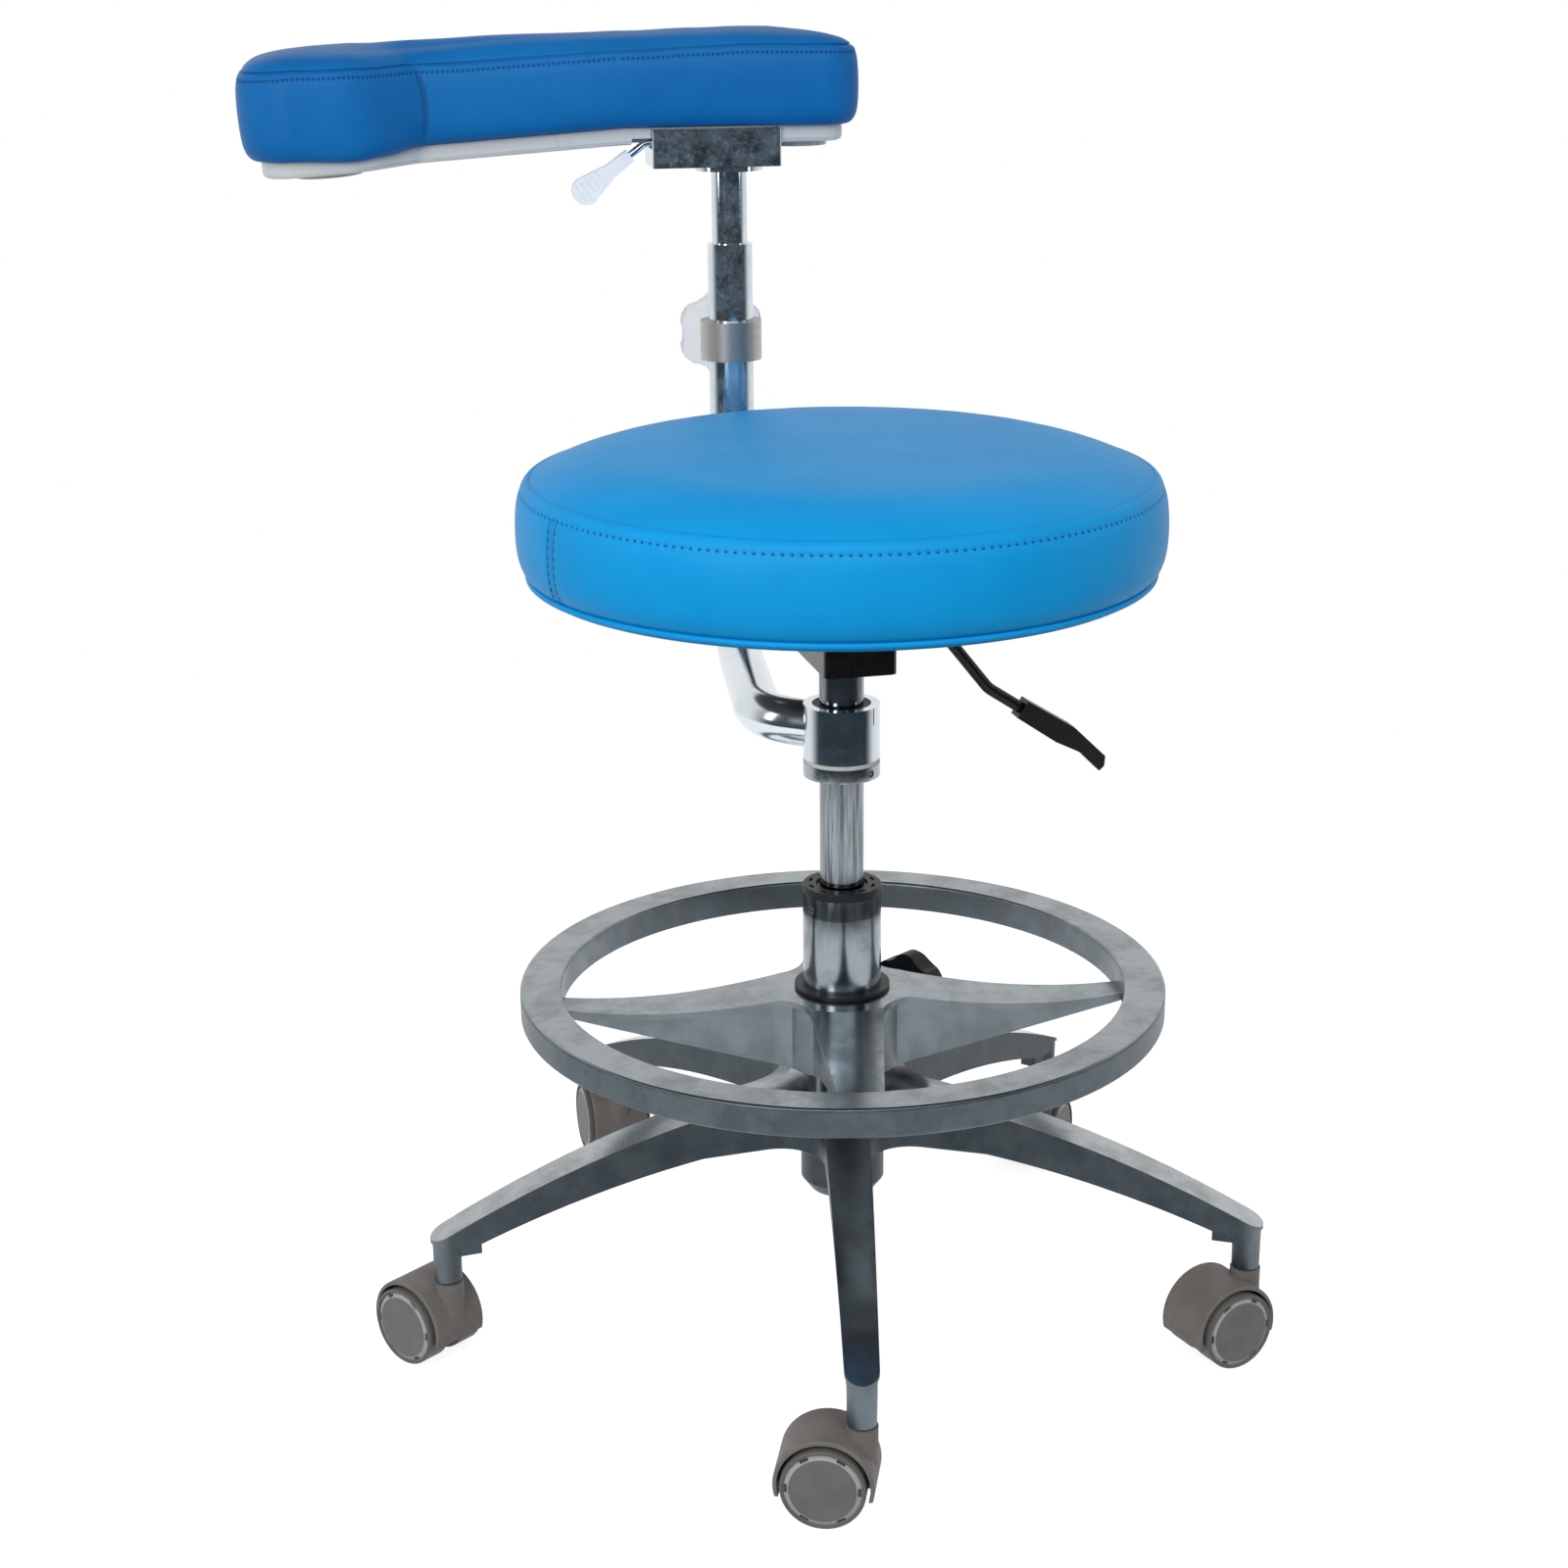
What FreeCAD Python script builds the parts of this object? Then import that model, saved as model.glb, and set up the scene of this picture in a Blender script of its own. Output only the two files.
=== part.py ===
import FreeCAD, Part
import math
import os

# Clinic stool with casters, a foot ring and a swinging padded arm.
# Millimetres, +Z up, origin on the floor under the column, front base arm towards -Y.

# Clearances shared by mating pieces
running_clearance = 0.08      # radial, shaft that turns or slides in its bore
seated_clearance = 0.02       # radial, piece pushed or clamped into its seat
face_clearance = 0.3          # between faces that move past each other
soft_clearance = 0.3          # between a soft piece and what carries it
overshoot = 1.0               # how far a cutting shape reaches past what it cuts

# Casters
caster_radius = 265.0         # from the column's axis to the casters' swivel axes
front_azimuth = -90.0         # first caster; the others follow at equal steps
caster_headings = [170.8, 208.4, 245.0, 105.1, 138.4]   # way each caster trails, degrees
caster_trail = 20.0
wheel_diameter = 50.0
wheel_width = 17.6
rim_round = 1.5
cap_diameter = 46.0
cap_depth = 2.6
cap_face_diameter = 39.4      # flat middle of the cap, inside its sloping ring
cap_slope = 1.4
cap_slot_count = 6
cap_slot_length = 5.6
cap_slot_width = 2.2
axle_diameter = 6.0
web_width = 9.0               # hood's wall between the two wheels
web_gap = 0.7                 # from that wall to each wheel
hood_gap = 2.0                # from the tread to the hood
hood_wall = 2.4
hood_width = 39.0
hood_round = 1.2
hood_skirt = 7.5              # how far the hood reaches below the axle
neck_diameter = 19.0
neck_height = 31.0            # neck's top above the axle
stem_pin_diameter = 6.0
stem_pin_length = 20.0
stem_flange_diameter = 13.0
stem_flange_height = 1.2
stem_diameter = 10.6
stem_length = 22.0
grip_ring_height = 4.0
grip_ring_depth = 0.9

# Star base
arm_count = len(caster_headings)
arm_root_half_width = 15.8    # where the arms' sides would meet the column axis
arm_tip_half_width = 10.25
arm_fillet = 27.0             # between neighbouring arms
hub_top = 156.8
hub_top_radius = 35.0
arm_mid_radius = 175.0
arm_mid_top = 126.8
arm_tip_top = 91.2            # at the swivel axis
lip_height = 2.5
lip_overhang = 1.2
arm_root_bottom = 117.8
arm_knee_radius = 100.0       # where the underside starts to fall
arm_mid_bottom = 103.3
arm_end_setback = 20.0        # from the swivel axis to the end of the arm's body
arm_end_bottom = 81.8
arm_wall = 4.0
channel_roof = 5.0
hub_bottom = 78.8
hub_radius = 27.0
hub_chamfer_height = 8.0
hub_chamfer_width = 6.0
hub_mouth_radius = 15.0
hub_fillet = 12.0
boss_bottom_radius = 8.75
gusset_width = 12.0
gusset_bottom = 73.8

# Column and gas spring
column_diameter = 50.0
column_wall = 2.0
column_top = 283.8
column_foot_diameter = 46.0
column_foot = 88.8
foot_plate = 4.0
guide_flange_diameter = 50.5
guide_flange_height = 5.0
guide_flange_round = 1.0
guide_recess_diameter = 33.0
guide_recess_depth = 1.5
guide_sleeve_length = 65.0
guide_slot_count = 10
guide_slot_radius = 20.4
guide_slot_length = 6.0
guide_slot_width = 1.8
cylinder_diameter = 28.0
cylinder_wall = 2.5
cylinder_bottom = 174.8
cylinder_plug = 10.0
cone_length = 30.0
cone_top_diameter = 26.4
rod_diameter = 10.0
rod_top = 259.8
piston_height = 10.0
bearing_diameter = 24.0
bearing_layer = 1.5           # thickness of each of the bearing's three rings
shoulder_diameter = 16.0
shoulder_height = 4.0
clip_diameter = 16.0
clip_height = 1.4
clip_groove = 1.0             # depth of its groove in the rod
valve_diameter = 8.0
valve_reach = 4.5             # above the cylinder's top
valve_depth = 12.0

# Foot ring
ring_radius = 206.0
ring_width = 26.0
ring_height = 18.6
ring_bottom = 206.2
ring_round = 2.0
spoke_count = 4
spoke_azimuth = 2.15
spoke_root_half_width = 26.5
spoke_tip_half_width = 9.7
spoke_fillet = 25.0
spoke_lip = 4.0
spoke_lip_overhang = 5.0
ring_hub_top = 218.8
ring_hub_bottom = 170.8
ring_hub_radius = 39.5
ring_hub_flat = 46.0          # radius where the spokes' tops start to dip
spoke_dip_radius = 104.0
spoke_dip_top = 209.8
spoke_tip_top = 213.3
spoke_tip_bottom = 207.8
ring_bush_wall = 3.9
ring_bush_flange_diameter = 61.0
ring_bush_flange_height = 2.2
ring_knob_azimuth = 47.0
ring_knob_height = 194.8
ring_knob_diameter = 52.0
ring_knob_lobes = 6
ring_knob_thickness = 16.0
ring_knob_reach = 24.0        # from the hub's wall to the knob
ring_screw_diameter = 8.0

# Swinging arm
collar_diameter = 48.0
stop_collar_diameter = 48.5
stop_collar_bottom = 361.5
stop_collar_height = 8.8
stop_screw_azimuth = -42.7
stop_screw_diameter = 5.0
washer_height = 2.5
washer_diameter = 47.4
arm_collar_height = 34.5
arm_bush_wall = 4.4
arm_bush_recess = 1.0         # of the bush's top below the collar's
arm_tube_diameter = 30.0
arm_tube_wall = 3.1
arm_tube_rise = 18.7          # of the tube's level run above the collar's bottom
arm_corner = (-50.1, 23.8)    # where the level runs would meet
arm_corner_bend = 45.0
mast_azimuth = 106.88
mast_gap = 11.5               # from the seat's edge to the tube's upright run
arm_foot_bend = 60.0
arm_tube_top = 665.8
clamp_collar_diameter = 41.0
clamp_collar_height = 26.0
clamp_collar_bottom = 588.8
arm_knob_azimuth = 102.65
arm_knob_diameter = 59.0
arm_knob_lobes = 6
arm_knob_thickness = 14.0
arm_knob_reach = 6.0
arm_screw_diameter = 6.0
mast_wall = 2.5
mast_plug = 12.0              # solid below the mast's flange
mast_bottom = 504.8
mast_flange_top = 716.8
mast_flange_height = 3.0
mast_flange_diameter = 45.0

# Ratchet head, in its own frame: X along the pad, origin on the mast
head_azimuth = 8.0
head_left = -53.0
head_right = 32.0
head_depth = 45.0
head_height = 25.0
head_wall = 3.5
head_floor = 4.0
head_round = 1.5
smallest_round = 1.0          # least corner radius of an inset outline
cover_height = 2.5
spindle_diameter = 16.0
gear_teeth = 12
gear_diameter = 24.0
tooth_height = 2.4
tooth_tip_share = 0.3         # of the pitch, at the teeth's tips
tooth_root_share = 0.5
gear_height = 8.0
gear_rise = 7.7               # above the housing's floor
gear_bore = 10.0
bolt_head_diameter = 13.0
bolt_head_height = 2.5
bolt_diameter = 6.0
bolt_length = 14.0
pawl_spot = (-18.0, -13.0)
pawl_pin_diameter = 5.0
pawl_hub_diameter = 10.0
pawl_height = 6.0
pawl_gap = 0.5                # from the pawl's tooth to the gear's teeth, at rest
pawl_tooth_width = 1.6
pawl_tooth_length = 3.5
pawl_arm_width = 4.5
lever_rod_diameter = 5.0
lever_rod_length = 22.0       # sloping run outside the housing
lever_rod_bend = 8.0
lever_exit_gap = 3.0          # from the housing's end to the bend
lever_exit_y = -9.0
lever_slot_width = 22.0
lever_room = 1.0              # above and below the lever where it leaves the housing
lever_slope = 36.7
grip_length = 46.0
grip_root_width = 8.5
grip_end_width = 18.5
grip_thickness = 6.0
grip_overlap = 9.0
grip_groove_count = 5
grip_groove_pitch = 4.0
grip_groove_depth = 0.5

# Pad, in the head's frame, bent so that its long end is lower
pad_bend = 3.7                # fall of the long end, degrees
pad_bend_x = -72.0            # where the long end bends down
pad_right = 86.0
pad_left = -315.0
pad_front = -30.0
pad_back = 65.0
lobe_front = -60.0
lobe_corner_x = -238.0
crease_x = -200.0
pad_right_round = 25.0
pad_back_round = 45.0
lobe_left_round = 36.0
lobe_right_round = 50.0
crease_round = 4.0
pad_sections = [(0.0, 6.0), (5.0, 2.0), (20.0, 0.0), (40.0, 1.0), (49.0, 4.0), (54.5, 11.0), (58.0, 24.0)]
pad_rise = 1.0                # shell left over the housing
shell_inset = 11.0
shell_height = 11.0
shell_round = 3.0
lever_notch_length = 13.0     # cut in the shell beside the housing for the lever
shell_boss_diameter = 42.0
shell_boss_height = 4.0
shell_boss_spots = [(-262.0, 0.0), (47.0, 15.0)]
pad_screw_diameter = 5.0
pad_screw_length = 16.0
pad_screw_head = 9.0
pad_screw_head_height = 3.0

# Seat
seat_radius = 198.0
seat_bottom = 491.8
seat_thickness = 78.0
seat_widest_rise = 26.0       # of the widest place above the bottom
seat_seam_drop = 18.0         # of the top seam below the crown's middle
seat_seam_inset = 6.0         # seam's radius, less than the widest
seat_edge_inset = 8.0         # bottom edge's radius, less than the widest
crown_inset = 30.0            # where the top's soft edge meets the crown
crown_rise = 7.5              # of the crown's middle above that place
board_inset = 14.0            # board's radius, less than the seat's widest
board_height = 12.0
plate_height = 3.0
plate_length = 200.0
plate_width = 160.0
plate_round = 20.0
housing_bottom = 436.8
housing_width = 45.5
housing_length = 96.0
housing_azimuth = 102.65
housing_wall = 2.5
housing_round = 5.0
socket_wall = 4.0
seat_bolt_diameter = 6.0
seat_bolt_head = 11.0
seat_bolt_head_height = 4.0
seat_bolt_spacing = (150.0, 110.0)
release_diameter = 7.5
release_pivot = 16.0          # from the column axis
release_inner = 5.0           # past the axis
release_corner = 43.7         # radius where the lever turns down
release_knee = (95.5, 65.6)   # radius, and fall below the pivot, where it flattens
release_end = (130.1, 88.7)
release_bend = 20.0
release_pin_diameter = 4.0
release_lug = 3.0
release_swing = 6.0           # degrees
paddle_length = 69.0
paddle_width = 13.5
paddle_thickness = 12.6
# side view of the paddle, as shares of its length and of half its thickness
paddle_profile = [(0.0, -1.0), (0.45, -1.08), (0.72, -0.7), (0.985, -1.3),
                  (1.0, -0.6), (0.955, 0.3), (0.54, 1.16), (0.0, 1.0)]
paddle_overlap = 16.0

Vector = FreeCAD.Vector
ORIGIN = Vector(0, 0, 0)
UP = Vector(0, 0, 1)


def polar(radius, azimuth, z=0.0):
    angle = math.radians(azimuth)
    return Vector(radius * math.cos(angle), radius * math.sin(angle), z)


def moved(shape, azimuth=0.0, to=ORIGIN):
    """Copy of a shape, turned about Z and then shifted."""
    copy = shape.copy()
    copy.rotate(ORIGIN, UP, azimuth)
    copy.translate(to)
    return copy


def tilted(shape, axis, angle):
    copy = shape.copy()
    copy.rotate(ORIGIN, axis, angle)
    return copy


def rod(radius, bottom, top):
    return Part.makeCylinder(radius, top - bottom, Vector(0, 0, bottom))


def pipe(outer, inner, bottom, top):
    return rod(outer, bottom, top).cut(rod(inner, bottom - overshoot, top + overshoot))


def cone(bottom_radius, top_radius, bottom, top):
    return Part.makeCone(bottom_radius, top_radius, top - bottom, Vector(0, 0, bottom))


def along_x(shape):
    """Turn a shape built on Z so that it lies on X."""
    return tilted(shape, Vector(0, 1, 0), 90)


def closed_wire(path, place):
    """Closed wire: (a, b) draws a line to that point, (am, bm, a, b) an arc through (am, bm)."""
    edges = []
    here = place(*path[0][-2:])
    for item in path[1:] + path[:1]:
        there = place(*item[-2:])
        if len(item) == 4:
            edges.append(Part.Arc(here, place(*item[:2]), there).toShape())
        else:
            edges.append(Part.LineSegment(here, there).toShape())
        here = there
    return Part.Wire(edges)


def turned(path):
    """Solid of revolution about Z from a path in (radius, z)."""
    face = Part.Face(closed_wire(path, lambda r, z: Vector(r, 0, z)))
    return face.revolve(ORIGIN, UP, 360)


def plate(path, bottom, top):
    """Plan outline raised from bottom to top."""
    face = Part.Face(closed_wire(path, lambda x, y: Vector(x, y, bottom)))
    return face.extrude(Vector(0, 0, top - bottom))


def box(x0, x1, y0, y1, z0, z1):
    return Part.makeBox(x1 - x0, y1 - y0, z1 - z0, Vector(x0, y0, z0))


def save(node, *solids):
    shape = solids[0] if len(solids) == 1 else Part.makeCompound(list(solids))
    shape.exportStep("parts/%s.step" % node)


def star_outline(count, azimuth, root_half, tip_half, tip_radius, fillet, inset, round_tip):
    """Plan of a star with tapered arms and concave fillets; inset draws the whole outline in."""
    root = root_half - inset
    taper = (root_half - tip_half) / tip_radius
    tip = root - taper * tip_radius
    hollow = fillet + inset
    step = 360.0 / count
    lean = math.degrees(math.atan(taper))
    half_step = math.radians(step / 2)
    reach = hollow * math.hypot(1, taper) + root
    centre = reach / (math.sin(half_step) + taper * math.cos(half_step))
    path = []
    for index in range(count):
        arm = azimuth + index * step
        fillet_end = polar(centre, arm - step / 2) + polar(hollow, arm + 90 + lean)
        fillet_mid = polar(centre - hollow, arm - step / 2)
        fillet_start = polar(centre, arm - step / 2) + polar(hollow, arm - step - 90 - lean)
        side = polar(tip, arm + 90)
        end = polar(tip_radius, arm)
        path.append((fillet_start.x, fillet_start.y))
        path.append((fillet_mid.x, fillet_mid.y, fillet_end.x, fillet_end.y))
        right = end - side
        left = end + side
        path.append((right.x, right.y))
        if round_tip:
            nose = polar(tip_radius + tip, arm)
            path.append((nose.x, nose.y, left.x, left.y))
        else:
            path.append((left.x, left.y))
    return path


def lobed_knob(diameter, lobes, thickness):
    """Star knob on Z: lobes of round scallops round a disc, with a raised hub at the back."""
    crest = diameter / 2
    valley = crest * 0.86
    step = 360.0 / lobes
    path = []
    for index in range(lobes):
        dip = polar(valley, (index - 0.5) * step)
        start = polar(crest * 0.95, (index - 0.25) * step)
        nose = polar(crest, index * step)
        end = polar(crest * 0.95, (index + 0.25) * step)
        path.append((dip.x, dip.y, start.x, start.y))
        path.append((nose.x, nose.y, end.x, end.y))
    disc = plate(path, 0, thickness)
    dome = turned([(0, -1), (crest, -1), (crest, thickness * 0.7),
                   (crest * 0.78, thickness * 0.93, crest * 0.5, thickness),
                   (0, thickness)])
    return disc.common(dome)


def knob_with_neck(diameter, lobes, thickness, neck, screw_radius):
    """Knob on Z from its neck's end at z = 0, with a socket for its screw."""
    head = lobed_knob(diameter, lobes, thickness)
    head.translate(Vector(0, 0, neck))
    return head.fuse(rod(diameter * 0.2, 0, neck)).cut(rod(screw_radius + seated_clearance, -overshoot, neck))


def bent_wire(points, bends):
    """Open wire through points, with an arc of the given radius at each inner point."""
    edges = []
    here = points[0]
    for before, corner, after, radius in zip(points, points[1:], points[2:], bends):
        incoming = (corner - before).normalize()
        outgoing = (after - corner).normalize()
        half_turn = incoming.getAngle(outgoing) / 2
        inside = (outgoing - incoming).normalize()
        start = corner - incoming * (radius * math.tan(half_turn))
        end = corner + outgoing * (radius * math.tan(half_turn))
        middle = corner + inside * (radius / math.cos(half_turn) - radius)
        edges.append(Part.LineSegment(here, start).toShape())
        edges.append(Part.Arc(start, middle, end).toShape())
        here = end
    edges.append(Part.LineSegment(here, points[-1]).toShape())
    return Part.Wire(edges)


def bent_rod(points, bends, radius):
    along = (points[1] - points[0]).normalize()
    circle = Part.Wire(Part.Circle(points[0], along, radius).toShape())
    return bent_wire(points, bends).makePipeShell([circle], True, False)


def rounded_outline(corners, inset=0.0):
    """Anticlockwise path of straight sides and round corners (x, y, radius); inset draws it in."""
    sides = []
    for index, (x, y, radius) in enumerate(corners):
        ahead = corners[(index + 1) % len(corners)]
        along = (Vector(ahead[0], ahead[1], 0) - Vector(x, y, 0)).normalize()
        sides.append((Vector(x - along.y * inset, y + along.x * inset, 0), along))
    path = []
    for index, (x, y, radius) in enumerate(corners):
        before, incoming = sides[index - 1]
        after, outgoing = sides[index]
        turn = incoming.cross(outgoing).z
        corner = before + incoming * ((after - before).cross(outgoing).z / turn)
        size = max(radius - inset, smallest_round) if turn > 0 else radius
        half_turn = incoming.getAngle(outgoing) / 2
        reach = size * math.tan(half_turn)
        inside = (outgoing - incoming).normalize()
        middle = corner + inside * (size / math.cos(half_turn) - size)
        start = corner - incoming * reach
        end = corner + outgoing * reach
        path.append((start.x, start.y))
        path.append((middle.x, middle.y, end.x, end.y))
    return path


def rectangle(x0, x1, y0, y1, radius):
    return [(x0, y0, radius), (x1, y0, radius), (x1, y1, radius), (x0, y1, radius)]


def centred_rectangle(length, width, radius):
    return rectangle(-length / 2, length / 2, -width / 2, width / 2, radius)


def loft(corners, sections, straight):
    """Solid through copies of an outline at (height, inset), with straight or curved walls between."""
    wires = []
    for height, inset in sections:
        wires.append(closed_wire(rounded_outline(corners, inset), lambda x, y: Vector(x, y, height)))
    return Part.makeLoft(wires, True, straight)


os.makedirs("parts", exist_ok=True)

# Casters: hood, axle and twin wheels in a frame with the swivel axis on Z and the trail along +X
wheel_radius = wheel_diameter / 2
axle_radius = axle_diameter / 2
wheel_inner = web_width / 2 + web_gap
wheel_outer = wheel_inner + wheel_width
hood_inner_radius = wheel_radius + hood_gap
hood_radius = hood_inner_radius + hood_wall
hood_edge = hood_width / 2
neck_top = wheel_radius + neck_height
axle_point = Vector(caster_trail, 0, wheel_radius)
across = Vector(1, 0, 0)


def on_axle(shape):
    """Stand a shape built on Z on the axle, its +Z end towards +Y."""
    copy = tilted(shape, across, -90)
    copy.translate(axle_point)
    return copy


def caster_hood():
    barrel = turned([(0, -hood_edge),
                     (hood_radius - hood_round, -hood_edge),
                     (hood_radius - hood_round * 0.3, -hood_edge + hood_round * 0.3,
                      hood_radius, -hood_edge + hood_round),
                     (hood_radius, hood_edge - hood_round),
                     (hood_radius - hood_round * 0.3, hood_edge - hood_round * 0.3,
                      hood_radius - hood_round, hood_edge),
                     (0, hood_edge)])
    neck = rod(neck_diameter / 2, wheel_radius, neck_top)
    hood = on_axle(barrel).fuse(neck)
    for side in (-1, 1):
        well = rod(hood_inner_radius, web_width / 2, hood_edge + overshoot)
        hood = hood.cut(on_axle(well if side > 0 else tilted(well, across, 180)))
    below = wheel_radius - hood_skirt
    hood = hood.cut(box(-3 * hood_radius, 3 * hood_radius, -hood_width, hood_width, -hood_width, below))
    hood = hood.cut(on_axle(rod(axle_radius + seated_clearance, -hood_width, hood_width)))
    pin_bottom = neck_top - stem_pin_length - face_clearance
    return hood.cut(rod(stem_pin_diameter / 2 + running_clearance, pin_bottom, neck_top + overshoot))


def caster_wheel():
    """Wheel on Z from its inner face up to its outer face, and its face cap."""
    corner = wheel_radius - rim_round
    bend = rim_round * 0.293
    cap_radius = cap_diameter / 2
    seat_level = wheel_outer - cap_depth
    bore = axle_radius + running_clearance
    wheel = turned([(bore, wheel_inner),
                    (corner, wheel_inner),
                    (wheel_radius - bend, wheel_inner + bend, wheel_radius, wheel_inner + rim_round),
                    (wheel_radius, wheel_outer - rim_round),
                    (wheel_radius - bend, wheel_outer - bend, corner, wheel_outer),
                    (cap_radius, wheel_outer),
                    (cap_radius, seat_level),
                    (bore, seat_level)])
    snug = cap_radius - seated_clearance
    cap = turned([(0, seat_level),
                  (snug, seat_level),
                  (snug, wheel_outer - cap_slope),
                  (cap_face_diameter / 2, wheel_outer),
                  (0, wheel_outer)])
    slot_radius = (cap_diameter + cap_face_diameter) / 4
    for index in range(cap_slot_count):
        slot = box(slot_radius - cap_slot_width / 2, slot_radius + cap_slot_width / 2,
                   -cap_slot_length / 2, cap_slot_length / 2,
                   seat_level + cap_slope / 2, wheel_outer + overshoot)
        cap = cap.cut(moved(slot, index * 360.0 / cap_slot_count))
    return wheel, cap


hood = caster_hood()
axle_end = wheel_outer - cap_depth - face_clearance
axle = on_axle(rod(axle_radius, -axle_end, axle_end))
wheel_pieces = caster_wheel()
wheels = {"left": [on_axle(piece) for piece in wheel_pieces],
          "right": [on_axle(tilted(piece, across, 180)) for piece in wheel_pieces]}
caster_azimuths = [front_azimuth + index * 360.0 / arm_count for index in range(arm_count)]
for index, heading in enumerate(caster_headings):
    spot = polar(caster_radius, caster_azimuths[index])
    name = "caster_%d" % (index + 1)
    save(name + "_hood", moved(hood, heading, spot))
    save(name + "_axle", moved(axle, heading, spot))
    for side, pieces in wheels.items():
        save("%s_wheel_%s" % (name, side), *[moved(piece, heading, spot) for piece in pieces])

# Stems: pin in the hood, flange, shank in the base's socket, and a split grip ring round the shank
flange_bottom = neck_top + face_clearance
socket_mouth = flange_bottom + stem_flange_height
stem_top = socket_mouth + stem_length
stem_radius = stem_diameter / 2
socket_radius = stem_radius + grip_ring_depth / 4
ring_low = socket_mouth + (stem_length - grip_ring_height) / 2
ring_high = ring_low + grip_ring_height
groove_radius = stem_radius - grip_ring_depth
stem = turned([(0, neck_top - stem_pin_length),
               (stem_pin_diameter / 2, neck_top - stem_pin_length),
               (stem_pin_diameter / 2, flange_bottom),
               (stem_flange_diameter / 2, flange_bottom),
               (stem_flange_diameter / 2, socket_mouth),
               (stem_radius, socket_mouth),
               (stem_radius, ring_low),
               (groove_radius, ring_low),
               (groove_radius, ring_high),
               (stem_radius, ring_high),
               (stem_radius, stem_top),
               (0, stem_top)])
grip_ring = pipe(socket_radius - seated_clearance, groove_radius + seated_clearance,
                 ring_low + seated_clearance, ring_high - seated_clearance)
grip_ring = grip_ring.cut(box(0, stem_diameter, -1, 1, ring_low, ring_high))
stems = []
for azimuth in caster_azimuths:
    spot = polar(caster_radius, azimuth)
    stems.append(moved(stem, azimuth, spot))
    stems.append(moved(grip_ring, azimuth, spot))
save("caster_stems", *stems)


# Star base: a lip and a body cut from turned profiles by the star's plan
column_radius = column_diameter / 2
column_foot_radius = column_foot_diameter / 2
arm_rim = caster_radius + 2 * arm_tip_half_width
arm_end_radius = caster_radius - arm_end_setback


def base_plan(inset):
    return star_outline(arm_count, front_azimuth, arm_root_half_width, arm_tip_half_width,
                        caster_radius, arm_fillet, inset, True)


def crest_height(radius):
    """Height at a radius of the arc along the arms' tops."""
    arc = Part.Arc(Vector(hub_top_radius, 0, hub_top), Vector(arm_mid_radius, 0, arm_mid_top),
                   Vector(caster_radius, 0, arm_tip_top)).toShape().Curve
    return arc.Center.z + math.sqrt(arc.Radius ** 2 - (radius - arc.Center.x) ** 2)


rim_top = crest_height(arm_rim)


def arm_crest(drop, outward):
    """Arc of the arms' top, lowered by drop, from hub to rim or back."""
    hub_end = (hub_top_radius, hub_top - drop)
    rim_end = (arm_rim, rim_top - drop)
    middle = (arm_mid_radius, arm_mid_top - drop)
    return [hub_end, middle + rim_end] if outward else [rim_end, middle + hub_end]


lip = turned([(0, hub_top - lip_height)] + arm_crest(lip_height, True)
             + arm_crest(0, False) + [(0, hub_top)])
fillet_bend = hub_fillet * 0.293
body = turned([(0, hub_bottom),
               (hub_radius - hub_chamfer_width, hub_bottom),
               (hub_radius, hub_bottom + hub_chamfer_height),
               (hub_radius, arm_root_bottom - hub_fillet),
               (hub_radius + fillet_bend, arm_root_bottom - fillet_bend,
                hub_radius + hub_fillet, arm_root_bottom),
               (arm_knee_radius, arm_root_bottom),
               (arm_mid_radius, arm_mid_bottom, arm_end_radius, arm_end_bottom),
               (arm_rim, arm_end_bottom)]
              + arm_crest(lip_height, False) + [(0, hub_top - lip_height)])
channel_start = hub_radius + hub_fillet + arm_wall
channel_end = arm_end_radius - arm_wall
channel_drop = lip_height + channel_roof
channel = turned([(channel_start, 0),
                  (channel_end, 0),
                  (channel_end, crest_height(channel_end) - channel_drop),
                  (arm_mid_radius, arm_mid_top - channel_drop,
                   channel_start, crest_height(channel_start) - channel_drop)])
lip = lip.common(plate(base_plan(0), 0, 2 * hub_top))
body = body.common(plate(base_plan(lip_overhang), 0, 2 * hub_top))
channel = channel.common(plate(base_plan(lip_overhang + arm_wall), 0, 2 * hub_top))
base = body.cut(channel).fuse(lip)
boss_top = arm_end_bottom + overshoot
boss = cone(boss_bottom_radius, arm_tip_half_width - lip_overhang, socket_mouth, boss_top)
gusset = box(-arm_end_setback - overshoot, 0, -gusset_width / 2, gusset_width / 2, gusset_bottom, boss_top)
socket_end = stem_top + face_clearance
for azimuth in caster_azimuths:
    spot = polar(caster_radius, azimuth)
    base = base.fuse(moved(boss, azimuth, spot)).fuse(moved(gusset, azimuth, spot))
for azimuth in caster_azimuths:
    socket = rod(socket_radius, socket_mouth - overshoot, socket_end)
    base = base.cut(moved(socket, 0, polar(caster_radius, azimuth)))
column_seat = cone(column_foot_radius + seated_clearance, column_radius + seated_clearance,
                   column_foot, hub_top)
base = base.cut(column_seat)
base = base.cut(rod(hub_mouth_radius, hub_bottom - overshoot, column_foot + overshoot))
save("star_base", base.removeSplitter())

# Column: tapered foot pressed into the star base, and a plate that carries the spring
plate_top = column_foot + foot_plate
rod_radius = rod_diameter / 2
column = turned([(rod_radius + face_clearance, column_foot),
                 (column_foot_radius, column_foot),
                 (column_radius, hub_top),
                 (column_radius, column_top),
                 (column_radius - column_wall, column_top),
                 (column_radius - column_wall, hub_top),
                 (column_foot_radius - column_wall, plate_top),
                 (rod_radius + face_clearance, plate_top)])
save("column_tube", column)

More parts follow.
